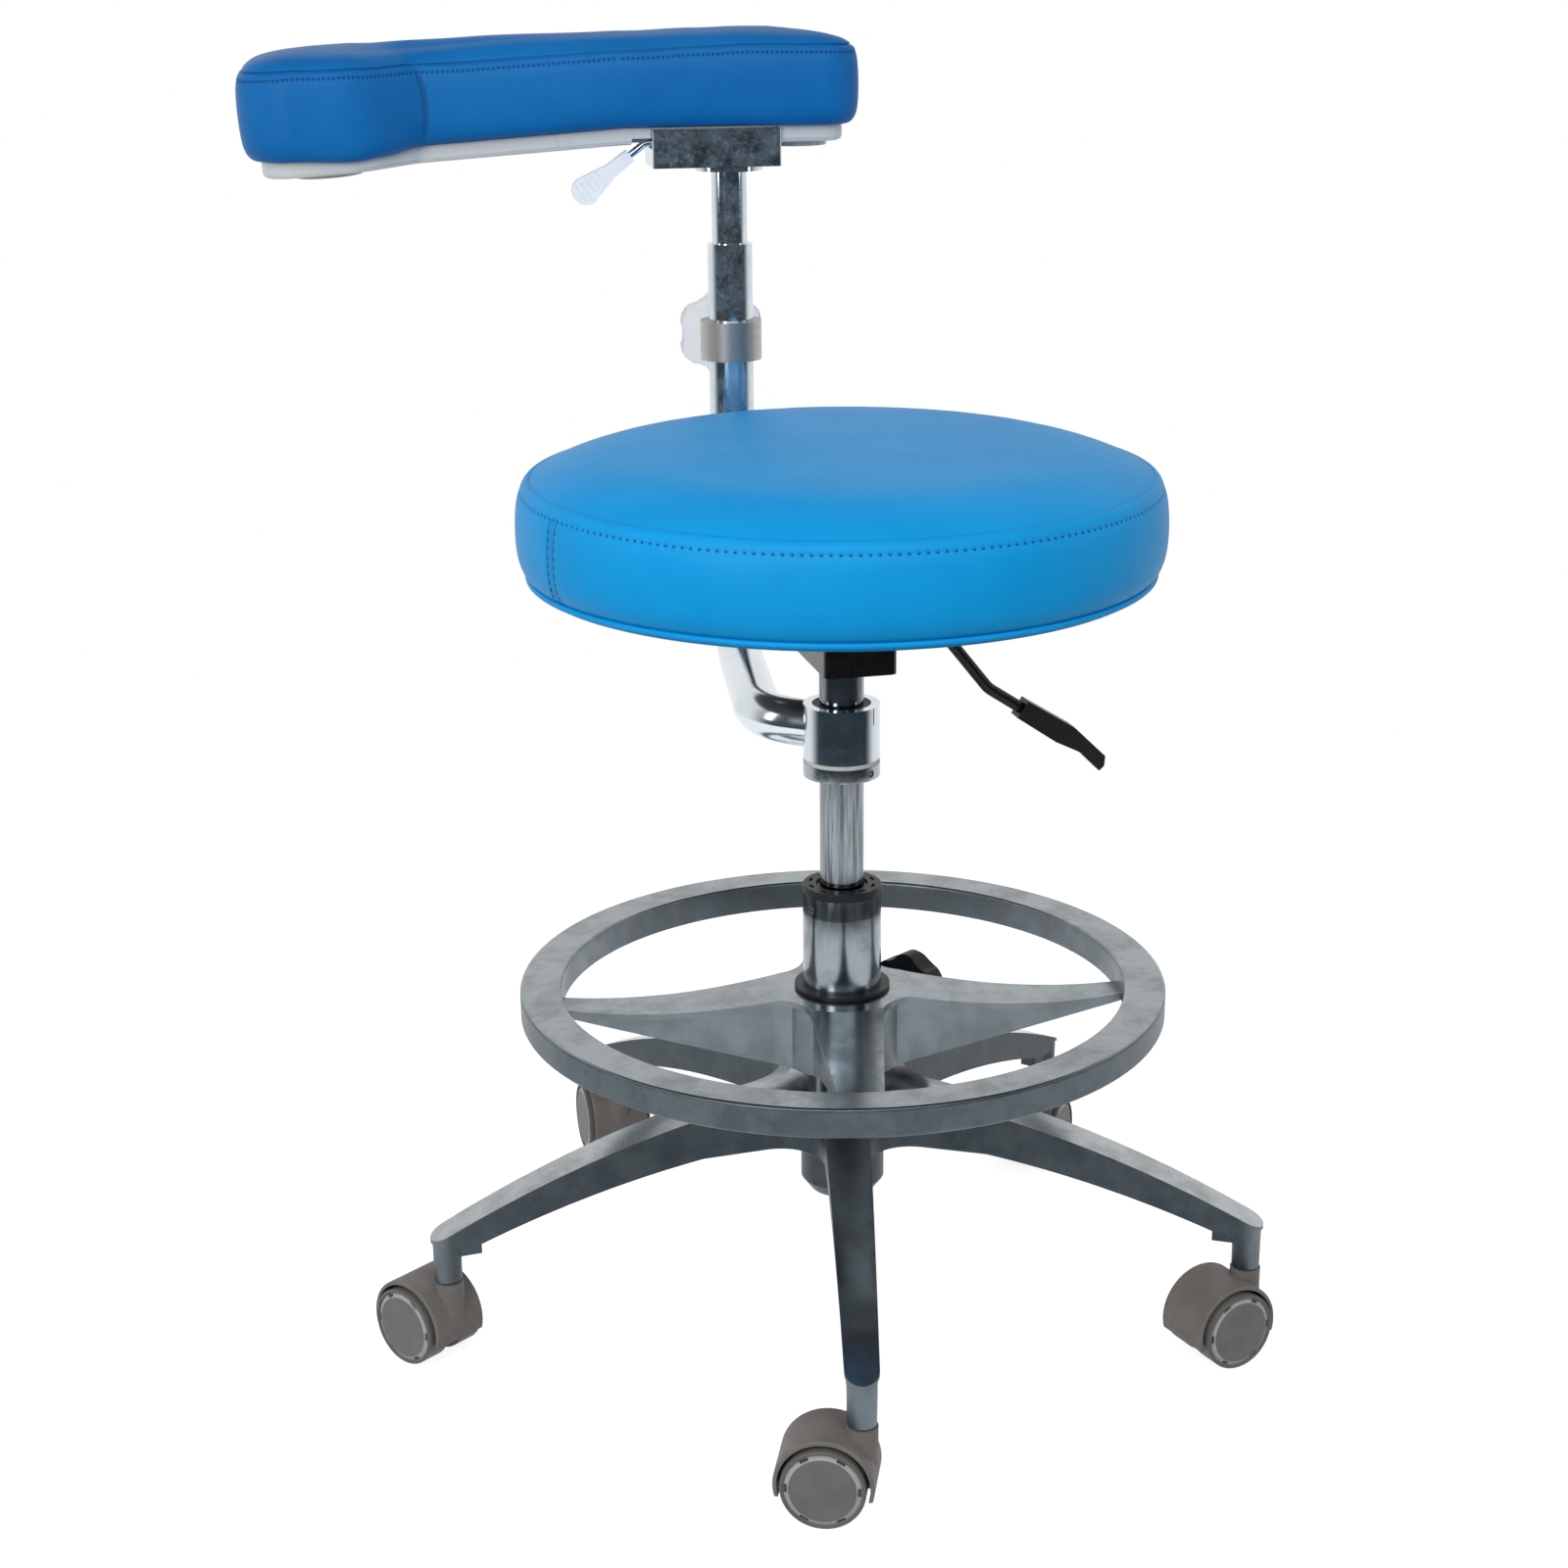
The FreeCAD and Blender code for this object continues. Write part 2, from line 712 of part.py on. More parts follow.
# Guide bush in the column's mouth, with a ring of small slots in its flange
cylinder_radius = cylinder_diameter / 2
guide_top = column_top + guide_flange_height
guide_bore = cylinder_radius + running_clearance
guide_bend = guide_flange_round * 0.293
guide = turned([(guide_bore, column_top - guide_sleeve_length),
                (column_radius - column_wall - seated_clearance, column_top - guide_sleeve_length),
                (column_radius - column_wall - seated_clearance, column_top),
                (guide_flange_diameter / 2, column_top),
                (guide_flange_diameter / 2, guide_top - guide_flange_round),
                (guide_flange_diameter / 2 - guide_bend, guide_top - guide_bend,
                 guide_flange_diameter / 2 - guide_flange_round, guide_top),
                (guide_recess_diameter / 2, guide_top),
                (guide_recess_diameter / 2, guide_top - guide_recess_depth),
                (guide_bore, guide_top - guide_recess_depth)])
guide_slot = box(guide_slot_radius - guide_slot_width / 2, guide_slot_radius + guide_slot_width / 2,
                 -guide_slot_length / 2, guide_slot_length / 2,
                 guide_top - guide_recess_depth, guide_top + overshoot)
for index in range(guide_slot_count):
    guide = guide.cut(moved(guide_slot, (index + 0.5) * 360.0 / guide_slot_count))
save("column_guide_bush", guide)

# Thrust bearing: two washers with a roller cage between them
bearing_bore = rod_radius + face_clearance
bearing_radius = bearing_diameter / 2
bearing_top = plate_top + 3 * bearing_layer
save("thrust_bearing",
     pipe(bearing_radius, bearing_bore, plate_top, plate_top + bearing_layer),
     pipe(bearing_radius - bearing_layer, bearing_bore, plate_top + bearing_layer,
          bearing_top - bearing_layer),
     pipe(bearing_radius, bearing_bore, bearing_top - bearing_layer, bearing_top))

# Piston rod: clipped under the plate, shoulder on the bearing, piston on its spigot
clip_top = column_foot - face_clearance
clip_bottom = clip_top - clip_height
groove_low = clip_bottom - seated_clearance
groove_high = clip_top + seated_clearance
clip_bore = rod_radius - clip_groove
shoulder_bottom = bearing_top + face_clearance
piston_bottom = rod_top - piston_height
spigot_radius = rod_radius - clip_groove
cylinder_bore = cylinder_radius - cylinder_wall
piston_rod = turned([(0, groove_low - face_clearance),
                     (rod_radius, groove_low - face_clearance),
                     (rod_radius, groove_low),
                     (clip_bore, groove_low),
                     (clip_bore, groove_high),
                     (rod_radius, groove_high),
                     (rod_radius, shoulder_bottom),
                     (shoulder_diameter / 2, shoulder_bottom),
                     (shoulder_diameter / 2, shoulder_bottom + shoulder_height),
                     (rod_radius, shoulder_bottom + shoulder_height),
                     (rod_radius, piston_bottom),
                     (spigot_radius, piston_bottom),
                     (spigot_radius, rod_top),
                     (0, rod_top)])
piston = pipe(cylinder_bore - running_clearance, spigot_radius + seated_clearance, piston_bottom, rod_top)
save("piston_rod", piston_rod, piston)
clip = pipe(clip_diameter / 2, clip_bore + seated_clearance, clip_bottom, clip_top)
clip_gap = box(0, clip_diameter, -clip_bore, clip_bore, clip_bottom - overshoot, clip_top + overshoot)
save("rod_clip", clip.cut(clip_gap))

# Gas cylinder with its cone in the seat's socket, and the valve button in its top
valve_travel = (release_pivot + valve_diameter / 2) * math.radians(release_swing)
cylinder_top = housing_bottom + cone_length
valve_bore = valve_diameter / 2
valve_floor = cylinder_top - valve_depth
cylinder = turned([(rod_radius + running_clearance, cylinder_bottom),
                   (cylinder_radius, cylinder_bottom),
                   (cylinder_radius, housing_bottom),
                   (cone_top_diameter / 2, cylinder_top),
                   (valve_bore, cylinder_top),
                   (valve_bore, valve_floor),
                   (0, valve_floor),
                   (0, housing_bottom),
                   (cylinder_bore, housing_bottom),
                   (cylinder_bore, cylinder_bottom + cylinder_plug),
                   (rod_radius + running_clearance, cylinder_bottom + cylinder_plug)])
save("gas_cylinder", cylinder)
valve_top = cylinder_top + valve_reach
valve_bottom = valve_floor + valve_travel + face_clearance
save("valve_button", rod(valve_bore - running_clearance, valve_bottom, valve_top))

# Foot ring: spokes cut like the star base, hub and ring, and the bush that slides on the column
spoke_end = ring_radius - ring_width / 2


def spoke_plan(inset):
    return star_outline(spoke_count, spoke_azimuth, spoke_root_half_width, spoke_tip_half_width,
                        spoke_end, spoke_fillet, inset, False)


def spoke_crest(drop, outward):
    hub_end = (ring_hub_flat, ring_hub_top - drop)
    tip_end = (spoke_end, spoke_tip_top - drop)
    dip = (spoke_dip_radius, spoke_dip_top - drop)
    return [hub_end, dip + tip_end] if outward else [tip_end, dip + hub_end]


spoke_lips = turned([(0, ring_hub_top - spoke_lip)] + spoke_crest(spoke_lip, True)
                    + spoke_crest(0, False) + [(0, ring_hub_top)])
spoke_webs = turned([(0, ring_hub_bottom), (ring_hub_radius, ring_hub_bottom), (spoke_end, spoke_tip_bottom)]
                    + spoke_crest(spoke_lip, False) + [(0, ring_hub_top - spoke_lip)])
spoke_lips = spoke_lips.common(plate(spoke_plan(0), 0, 2 * ring_hub_top))
spoke_webs = spoke_webs.common(plate(spoke_plan(spoke_lip_overhang), 0, 2 * ring_hub_top))
ring_inner = ring_radius - ring_width
ring_top = ring_bottom + ring_height
ring_bend = ring_round * 0.293
hoop = turned([(ring_inner, ring_bottom),
               (ring_radius - ring_round, ring_bottom),
               (ring_radius - ring_bend, ring_bottom + ring_bend, ring_radius, ring_bottom + ring_round),
               (ring_radius, ring_top - ring_round),
               (ring_radius - ring_bend, ring_top - ring_bend, ring_radius - ring_round, ring_top),
               (ring_inner + ring_round, ring_top),
               (ring_inner + ring_bend, ring_top - ring_bend, ring_inner, ring_top - ring_round)])
ring_hub = rod(ring_hub_radius, ring_hub_bottom, ring_hub_top - spoke_lip)
bush_bore = column_radius + running_clearance
bush_radius = bush_bore + ring_bush_wall
ring_bore = bush_radius + running_clearance
foot_ring = spoke_webs.fuse(ring_hub).fuse(spoke_lips).fuse(hoop)
foot_ring = foot_ring.cut(rod(ring_bore, ring_hub_bottom - overshoot, ring_hub_top + overshoot))
ring_screw_radius = ring_screw_diameter / 2
knob_axis_height = Vector(0, 0, ring_knob_height)
screw_hole = rod(ring_screw_radius + running_clearance, ring_bore - overshoot, ring_hub_radius + overshoot)
foot_ring = foot_ring.cut(moved(along_x(screw_hole), ring_knob_azimuth, knob_axis_height))
save("foot_ring", foot_ring.removeSplitter())
bush_top = ring_hub_top + face_clearance
ring_bush = turned([(bush_bore, ring_hub_bottom),
                    (bush_radius, ring_hub_bottom),
                    (bush_radius, bush_top),
                    (ring_bush_flange_diameter / 2, bush_top),
                    (ring_bush_flange_diameter / 2, bush_top + ring_bush_flange_height),
                    (bush_bore, bush_top + ring_bush_flange_height)])
save("foot_ring_bush", ring_bush)
knob_start = ring_hub_radius + face_clearance
knob = knob_with_neck(ring_knob_diameter, ring_knob_lobes, ring_knob_thickness, ring_knob_reach,
                      ring_screw_radius)
knob.translate(Vector(0, 0, knob_start))
save("foot_ring_knob", moved(along_x(knob), ring_knob_azimuth, knob_axis_height))
screw = rod(ring_screw_radius, bush_radius + face_clearance, knob_start + ring_knob_reach)
save("foot_ring_screw", moved(along_x(screw), ring_knob_azimuth, knob_axis_height))

# Stop collar with its set screw, and the washer that the arm turns on
stop_top = stop_collar_bottom + stop_collar_height
stop_radius = stop_collar_diameter / 2
clamped_bore = cylinder_radius + seated_clearance
stop_screw_radius = stop_screw_diameter / 2
stop_level = Vector(0, 0, stop_collar_bottom + stop_collar_height / 2)
stop_hole = along_x(rod(stop_screw_radius + seated_clearance, 0, stop_radius + overshoot))
stop_collar = pipe(stop_radius, clamped_bore, stop_collar_bottom, stop_top)
save("stop_collar", stop_collar.cut(moved(stop_hole, stop_screw_azimuth, stop_level)))
stop_screw = along_x(rod(stop_screw_radius, clamped_bore, stop_radius - stop_screw_radius))
key_hole = rod(stop_screw_radius / 2, stop_radius - 2 * stop_screw_radius, stop_radius)
stop_screw = stop_screw.cut(along_x(key_hole))
save("stop_collar_screw", moved(stop_screw, stop_screw_azimuth, stop_level))
washer_top = stop_top + washer_height
save("swivel_washer", pipe(washer_diameter / 2, cylinder_radius + face_clearance, stop_top, washer_top))

# Arm collar and bush, and the tube welded to it: back under the seat, then up
collar_radius = collar_diameter / 2
collar_bottom = washer_top + face_clearance
collar_top = collar_bottom + arm_collar_height
arm_bush_radius = cylinder_radius + running_clearance + arm_bush_wall
save("arm_collar", pipe(collar_radius, arm_bush_radius + seated_clearance, collar_bottom, collar_top))
arm_bush_bore = cylinder_radius + running_clearance
save("arm_collar_bush", pipe(arm_bush_radius, arm_bush_bore, collar_bottom, collar_top - arm_bush_recess))
arm_tube_radius = arm_tube_diameter / 2
arm_tube_height = collar_bottom + arm_tube_rise
mast_reach = seat_radius + mast_gap + arm_tube_radius
mast_place = polar(mast_reach, mast_azimuth)
arm_points = [Vector(0, 0, arm_tube_height),
              Vector(arm_corner[0], arm_corner[1], arm_tube_height),
              mast_place + Vector(0, 0, arm_tube_height),
              mast_place + Vector(0, 0, arm_tube_top)]
arm_bends = [arm_corner_bend, arm_foot_bend]
tube = bent_rod(arm_points, arm_bends, arm_tube_radius)
tube = tube.cut(bent_rod(arm_points, arm_bends, arm_tube_radius - arm_tube_wall))
tube = tube.cut(rod(collar_radius + seated_clearance, 0, arm_tube_top))

# Height clamp: collar round the tube, screw through both and its knob
clamp_level = clamp_collar_bottom + clamp_collar_height / 2
clamp_radius = clamp_collar_diameter / 2
arm_screw_radius = arm_screw_diameter / 2
mast_radius = arm_tube_radius - arm_tube_wall - running_clearance
clamp_hole = moved(along_x(rod(arm_screw_radius + running_clearance, 0, clamp_radius + overshoot)),
                   arm_knob_azimuth, mast_place + Vector(0, 0, clamp_level))
clamp = pipe(clamp_radius, arm_tube_radius + seated_clearance,
             clamp_collar_bottom, clamp_collar_bottom + clamp_collar_height)
save("arm_tube", tube.cut(clamp_hole))
save("clamp_collar", moved(clamp, 0, mast_place).cut(clamp_hole))
arm_knob_start = clamp_radius + face_clearance
arm_knob = knob_with_neck(arm_knob_diameter, arm_knob_lobes, arm_knob_thickness, arm_knob_reach,
                          arm_screw_radius)
arm_knob.translate(Vector(0, 0, arm_knob_start))
knob_place = mast_place + Vector(0, 0, clamp_level)
save("arm_knob", moved(along_x(arm_knob), arm_knob_azimuth, knob_place))
arm_screw = rod(arm_screw_radius, mast_radius + face_clearance, arm_knob_start + arm_knob_reach)
save("arm_knob_screw", moved(along_x(arm_screw), arm_knob_azimuth, knob_place))

# Mast with its flange, and the spindle that carries the ratchet gear
spindle_radius = spindle_diameter / 2
bolt_radius = bolt_diameter / 2
gear_bore_radius = gear_bore / 2
flange_bottom_level = mast_flange_top - mast_flange_height
head_bottom = mast_flange_top + face_clearance
head_top = head_bottom + head_height
floor_top = head_bottom + head_floor
gear_bottom = floor_top + gear_rise
gear_top = gear_bottom + gear_height
spindle_top = gear_top - face_clearance
bolt_end = spindle_top - bolt_length
mast = turned([(mast_radius - mast_wall, mast_bottom),
               (mast_radius, mast_bottom),
               (mast_radius, flange_bottom_level),
               (mast_flange_diameter / 2, flange_bottom_level),
               (mast_flange_diameter / 2, mast_flange_top),
               (spindle_radius, mast_flange_top),
               (spindle_radius, gear_bottom),
               (gear_bore_radius - seated_clearance, gear_bottom),
               (gear_bore_radius - seated_clearance, spindle_top),
               (bolt_radius + seated_clearance, spindle_top),
               (bolt_radius + seated_clearance, bolt_end),
               (0, bolt_end),
               (0, flange_bottom_level - mast_plug),
               (mast_radius - mast_wall, flange_bottom_level - mast_plug)])
save("mast", moved(mast, 0, mast_place))


def on_head(shape):
    """Place a shape built in the head's frame."""
    return moved(shape, head_azimuth, mast_place)


# Ratchet gear and its bolt; a gap between teeth faces the pawl
gear_radius = gear_diameter / 2
gear_root = gear_radius - tooth_height
pitch = 360.0 / gear_teeth
gear = pipe(gear_root, gear_bore_radius, gear_bottom, gear_top)
for index in range(gear_teeth):
    middle = 180 + (index + 0.5) * pitch
    flanks = [polar(gear_root - tooth_height / 2, middle - tooth_root_share * pitch / 2),
              polar(gear_radius, middle - tooth_tip_share * pitch / 2),
              polar(gear_radius, middle + tooth_tip_share * pitch / 2),
              polar(gear_root - tooth_height / 2, middle + tooth_root_share * pitch / 2)]
    gear = gear.fuse(plate([(point.x, point.y) for point in flanks], gear_bottom, gear_top))
save("ratchet_gear", on_head(gear.removeSplitter()))
bolt_head = rod(bolt_head_diameter / 2, gear_top, gear_top + bolt_head_height)
save("gear_bolt", on_head(bolt_head.fuse(rod(bolt_radius, bolt_end, gear_top))))

# Housing, cover and pawl pin
head_plan = rectangle(head_left, head_right, -head_depth / 2, head_depth / 2, head_round)
cover_bottom = head_top - cover_height
pin_radius = pawl_pin_diameter / 2
pawl_place = Vector(pawl_spot[0], pawl_spot[1], 0)
pawl_level = (gear_bottom + gear_top) / 2
lever_radius = lever_rod_diameter / 2
housing = plate(rounded_outline(head_plan), head_bottom, head_top)
housing = housing.cut(plate(rounded_outline(head_plan, head_wall), floor_top, head_top + overshoot))
housing = housing.cut(rod(spindle_radius + running_clearance, head_bottom - overshoot, floor_top + overshoot))
slot_low = lever_exit_y - lever_slot_width / 2
slot_inside = head_depth / 2 - head_wall
slot_back = slot_low + lever_slot_width
slot_floor = pawl_level - lever_radius - lever_room
slot_roof = pawl_level + lever_radius + lever_room
lever_slot = box(head_left - overshoot, head_left + head_wall + overshoot,
                 max(slot_low, -slot_inside), slot_back, slot_floor, slot_roof)
pin_seat = floor_top - head_floor / 2
housing = housing.cut(lever_slot)
pin_hole = rod(pin_radius + seated_clearance, pin_seat, floor_top + overshoot)
housing = housing.cut(moved(pin_hole, 0, pawl_place))
save("ratchet_housing", on_head(housing))
pin = rod(pin_radius, pin_seat, cover_bottom)
save("pawl_pin", on_head(moved(pin, 0, pawl_place)))
pad_screw_radius = pad_screw_diameter / 2
screw_room = head_wall + pad_screw_head
cover_spots = [Vector(x, y, 0) for x in (head_left + screw_room, head_right - screw_room)
               for y in (screw_room - head_depth / 2, head_depth / 2 - screw_room)]
cover = plate(rounded_outline(head_plan, head_wall + seated_clearance), cover_bottom, head_top)
cover_hole = rod(pad_screw_radius + seated_clearance, cover_bottom - overshoot, head_top + overshoot)
for spot in cover_spots:
    cover = cover.cut(moved(cover_hole, 0, spot))
save("ratchet_cover", on_head(cover))

# Pawl: hub on the pin, arm with a tooth beside the gear, and the bent lever rod
pawl_low = pawl_level - pawl_height / 2
pawl_high = pawl_level + pawl_height / 2
tooth_end = -gear_radius - pawl_gap
tooth_start = tooth_end - pawl_tooth_length
half_tooth = pawl_tooth_width / 2
hub = moved(rod(pawl_hub_diameter / 2, pawl_low, pawl_high), 0, pawl_place)
pawl_arm = plate([(tooth_start - pawl_arm_width, pawl_spot[1]),
                  (tooth_start, pawl_spot[1]),
                  (tooth_start, -2 * half_tooth),
                  (tooth_end, -half_tooth),
                  (tooth_end, half_tooth),
                  (tooth_start, 2 * half_tooth),
                  (tooth_start - pawl_arm_width, 2 * half_tooth)], pawl_low, pawl_high)
lever_exit = Vector(head_left - lever_exit_gap, lever_exit_y, pawl_level)
slope = math.radians(lever_slope)
lever_along = Vector(-math.cos(slope), 0, -math.sin(slope))
lever_end = lever_exit + lever_along * lever_rod_length
lever_start = pawl_place + Vector(0, 0, pawl_level)
lever_rod = bent_rod([lever_start, lever_exit, lever_end], [lever_rod_bend], lever_radius)
pawl = hub.fuse(pawl_arm).fuse(lever_rod)
pawl_bore = rod(pin_radius + running_clearance, pawl_low - overshoot, pawl_high + overshoot)
pawl = pawl.cut(moved(pawl_bore, 0, pawl_place))
save("pawl_lever", on_head(pawl))

# White paddle on the lever's end, drawn in its own plane and then laid along the slope
root_half = grip_root_width / 2
end_half = grip_end_width / 2
waist = grip_length * 0.35
grip_path = [(0, -root_half), (waist, -root_half * 1.1),
             (grip_length - end_half, -end_half),
             (grip_length, 0, grip_length - end_half, end_half),
             (waist, root_half * 1.1), (0, root_half)]
grip = plate(grip_path, -grip_thickness / 2, grip_thickness / 2)
for index in range(grip_groove_count):
    groove_x = grip_length - end_half + (1 - index) * grip_groove_pitch
    half_length = end_half * 0.62
    grip = grip.cut(box(groove_x - grip_groove_depth, groove_x + grip_groove_depth, -half_length, half_length,
                        grip_thickness / 2 - grip_groove_depth, grip_thickness))
grip = grip.cut(along_x(rod(lever_radius + seated_clearance, -overshoot, grip_overlap)))
grip = tilted(grip, Vector(1, 0, 0), 90)
grip = tilted(grip, Vector(0, 1, 0), 180 - lever_slope)
grip.translate(lever_end - lever_along * grip_overlap)
save("lever_grip", on_head(grip))

# Pad: white shell under an upholstered cushion, bent down beyond the housing's left end
pad_corners = [(pad_right, pad_front, pad_right_round),
               (pad_right, pad_back, pad_back_round),
               (pad_left, pad_back, pad_back_round),
               (pad_left, lobe_front, lobe_left_round),
               (lobe_corner_x, lobe_front, lobe_right_round),
               (crease_x, pad_front, crease_round)]


def on_pad(shape):
    """Place a shape built on the pad's base plane in the head's frame."""
    return moved(shape, 0, Vector(0, 0, head_top + pad_rise))


def long_end(shape):
    """Turn a shape on the pad's base plane down about the bend."""
    copy = moved(shape, 0, Vector(-pad_bend_x, 0, 0))
    copy = tilted(copy, Vector(0, 1, 0), -pad_bend)
    return moved(copy, 0, Vector(pad_bend_x, 0, 0))


def bent(shape):
    """Pad piece with its long end turned down and mitred to the rest."""
    reach = pad_right - pad_left
    room = box(0, reach, -reach, reach, -reach, reach)
    hinge = Vector(pad_bend_x, 0, 0)
    short_room = moved(tilted(room, Vector(0, 1, 0), -pad_bend / 2), 0, hinge)
    long_room = moved(tilted(moved(room, 180), Vector(0, 1, 0), pad_bend / 2), 0, hinge)
    return shape.common(short_room).fuse(long_end(shape.common(long_room)))


boss_bottom = -shell_height - shell_boss_height
screw_head_radius = pad_screw_head / 2
recess_top = boss_bottom + pad_screw_head_height + shell_boss_height / 2
shell = loft(pad_corners, [(-shell_height, shell_inset + shell_round),
                           (-shell_height + shell_round * 0.3, shell_inset + shell_round * 0.3),
                           (-shell_height + shell_round, shell_inset),
                           (0, shell_inset)], True)
shell_spots = [Vector(x, y, 0) for x, y in shell_boss_spots]
for spot in shell_spots:
    shell = shell.fuse(moved(rod(shell_boss_diameter / 2, boss_bottom, -shell_round), 0, spot))
head_recess = rod(screw_head_radius + face_clearance, boss_bottom - overshoot, recess_top)
shank_hole = rod(pad_screw_radius + seated_clearance, recess_top - overshoot, overshoot)
for spot in shell_spots:
    shell = shell.cut(moved(head_recess, 0, spot)).cut(moved(shank_hole, 0, spot))
shell = on_pad(bent(shell))
pocket = plate(rounded_outline(head_plan, -face_clearance), 0, head_top + seated_clearance)
shell = shell.cut(pocket)
notch_left = head_left - lever_notch_length
shell = shell.cut(box(notch_left, head_left, pad_front, slot_back, head_bottom, slot_roof))
cushion = on_pad(bent(loft(pad_corners, [(z + soft_clearance, inset) for z, inset in pad_sections], False)))


def on_shell(shape, spot):
    """Place a shape at a spot of the shell, on either side of its bend."""
    there = moved(shape, 0, spot)
    return on_pad(long_end(there) if spot.x < pad_bend_x else there)


def pad_screw(seat):
    """Pan-head screw whose head bears upwards at the given height."""
    return rod(screw_head_radius, seat - pad_screw_head_height, seat).fuse(
        rod(pad_screw_radius, seat, seat + pad_screw_length))


def screw_hole_in_pad(seat):
    return rod(pad_screw_radius + soft_clearance, seat, seat + pad_screw_length + soft_clearance)


screws = [moved(pad_screw(cover_bottom), 0, spot) for spot in cover_spots]
screws += [on_shell(pad_screw(recess_top), spot) for spot in shell_spots]
holes = [moved(screw_hole_in_pad(cover_bottom), 0, spot) for spot in cover_spots]
holes += [on_shell(screw_hole_in_pad(recess_top), spot) for spot in shell_spots]
for hole in holes:
    cushion = cushion.cut(hole)
for hole in holes[:len(cover_spots)]:
    shell = shell.cut(hole)
save("pad_shell", on_head(shell))
save("pad_cushion", on_head(cushion))
save("pad_screws", *[on_head(screw) for screw in screws])

# Seat plate: pressed plate, box with the cylinder's socket, and lugs for the release lever
plate_bottom = seat_bottom - plate_height
box_plan = centred_rectangle(housing_length, housing_width, housing_round)
plate_plan = centred_rectangle(plate_length, plate_width, plate_round)
socket_top = cylinder_top - valve_reach
seat_plate = plate(rounded_outline(box_plan), housing_bottom, plate_bottom)
inside_plan = rounded_outline(box_plan, housing_wall)
seat_plate = seat_plate.cut(plate(inside_plan, housing_bottom + housing_wall, plate_bottom))
seat_plate = seat_plate.fuse(plate(rounded_outline(plate_plan), plate_bottom, seat_bottom))
bolt_spots = [Vector(x * seat_bolt_spacing[0] / 2, y * seat_bolt_spacing[1] / 2, 0)
              for x in (-1, 1) for y in (-1, 1)]
seat_bolt_radius = seat_bolt_diameter / 2
bolt_hole = rod(seat_bolt_radius + seated_clearance, plate_bottom - overshoot, seat_bottom + board_height)
for spot in bolt_spots:
    seat_plate = seat_plate.cut(moved(bolt_hole, 0, spot))
seat_plate = moved(seat_plate, housing_azimuth)
seat_plate = seat_plate.fuse(rod(cylinder_radius + socket_wall, housing_bottom, socket_top))
seat_plate = seat_plate.cut(cone(cylinder_radius + seated_clearance, cone_top_diameter / 2 + seated_clearance,
                                 housing_bottom, cylinder_top))

# Release lever over the valve button: the pivot's lugs and slot, the pin, the bent rod and its paddle
release_radius = release_diameter / 2
release_azimuth = housing_azimuth - 90
release_level = valve_top + face_clearance + release_radius
release_pin_radius = release_pin_diameter / 2
lug_inner = release_radius + face_clearance
lug_outer = lug_inner + release_lug
lug_half = release_pin_diameter
for side in (-1, 1):
    lug = box(release_pivot - lug_half, release_pivot + lug_half, min(side * lug_inner, side * lug_outer),
              max(side * lug_inner, side * lug_outer), release_level - lug_half, plate_bottom)
    seat_plate = seat_plate.fuse(moved(lug, release_azimuth))
pivot_pin = tilted(rod(release_pin_radius, -lug_outer, lug_outer), Vector(1, 0, 0), 90)
pivot_hole = rod(release_pin_radius + seated_clearance, -lug_outer - overshoot, lug_outer + overshoot)
pivot_hole = tilted(pivot_hole, Vector(1, 0, 0), 90)
pivot_place = polar(release_pivot, release_azimuth, release_level)
seat_plate = seat_plate.cut(moved(pivot_hole, release_azimuth, pivot_place))
swing_room = release_corner * math.tan(math.radians(release_swing)) + face_clearance
slot_half = release_radius + lever_room
release_slot = box(release_pivot + lug_half, release_corner, -slot_half, slot_half,
                   release_level - slot_half, release_level + release_radius + swing_room)
seat_plate = seat_plate.cut(moved(release_slot, release_azimuth))
save("seat_plate", seat_plate.removeSplitter())
save("lever_pin", moved(pivot_pin, release_azimuth, pivot_place))
release_path = [Vector(-release_inner, 0, release_level),
                Vector(release_corner, 0, release_level),
                Vector(release_knee[0], 0, release_level - release_knee[1]),
                Vector(release_end[0], 0, release_level - release_end[1])]
release = bent_rod(release_path, [release_bend, release_bend], release_radius)
release_bore = rod(release_pin_radius + running_clearance, -release_diameter, release_diameter)
release_bore = tilted(release_bore, Vector(1, 0, 0), 90)
release = release.cut(moved(release_bore, 0, Vector(release_pivot, 0, release_level)))
save("release_lever", moved(release, release_azimuth))
end_run = (release_path[-1] - release_path[-2]).normalize()
half_thick = paddle_thickness / 2
side_view = [(along * paddle_length, up * half_thick) for along, up in paddle_profile]
paddle = plate(side_view, -paddle_width / 2, paddle_width / 2)
paddle = paddle.cut(along_x(rod(release_radius + seated_clearance, -overshoot, paddle_overlap)))
paddle = tilted(paddle, Vector(1, 0, 0), 90)
paddle = tilted(paddle, Vector(0, 1, 0), math.degrees(math.atan2(-end_run.z, end_run.x)))
paddle.translate(release_path[-1] - end_run * paddle_overlap)
save("lever_paddle", moved(paddle, release_azimuth))

# Board, bolts and the round cushion with its drawn-in sides and crown
board_radius = seat_radius - board_inset
seat_widest = seat_bottom + seat_widest_rise
seat_top = seat_bottom + seat_thickness
seat_seam = seat_top - seat_seam_drop
seat_seam_radius = seat_radius - seat_seam_inset
seat_edge_radius = seat_radius - seat_edge_inset
crown_radius = seat_radius - crown_inset
crown_edge = seat_top - crown_rise
board_top = seat_bottom + board_height
board = rod(board_radius, seat_bottom, board_top)
for spot in bolt_spots:
    board = board.cut(moved(moved(bolt_hole, 0, spot), housing_azimuth))
save("seat_board", board)
bolt = rod(seat_bolt_head / 2, plate_bottom - seat_bolt_head_height, plate_bottom).fuse(
    rod(seat_bolt_radius, plate_bottom, board_top - seat_bolt_radius))
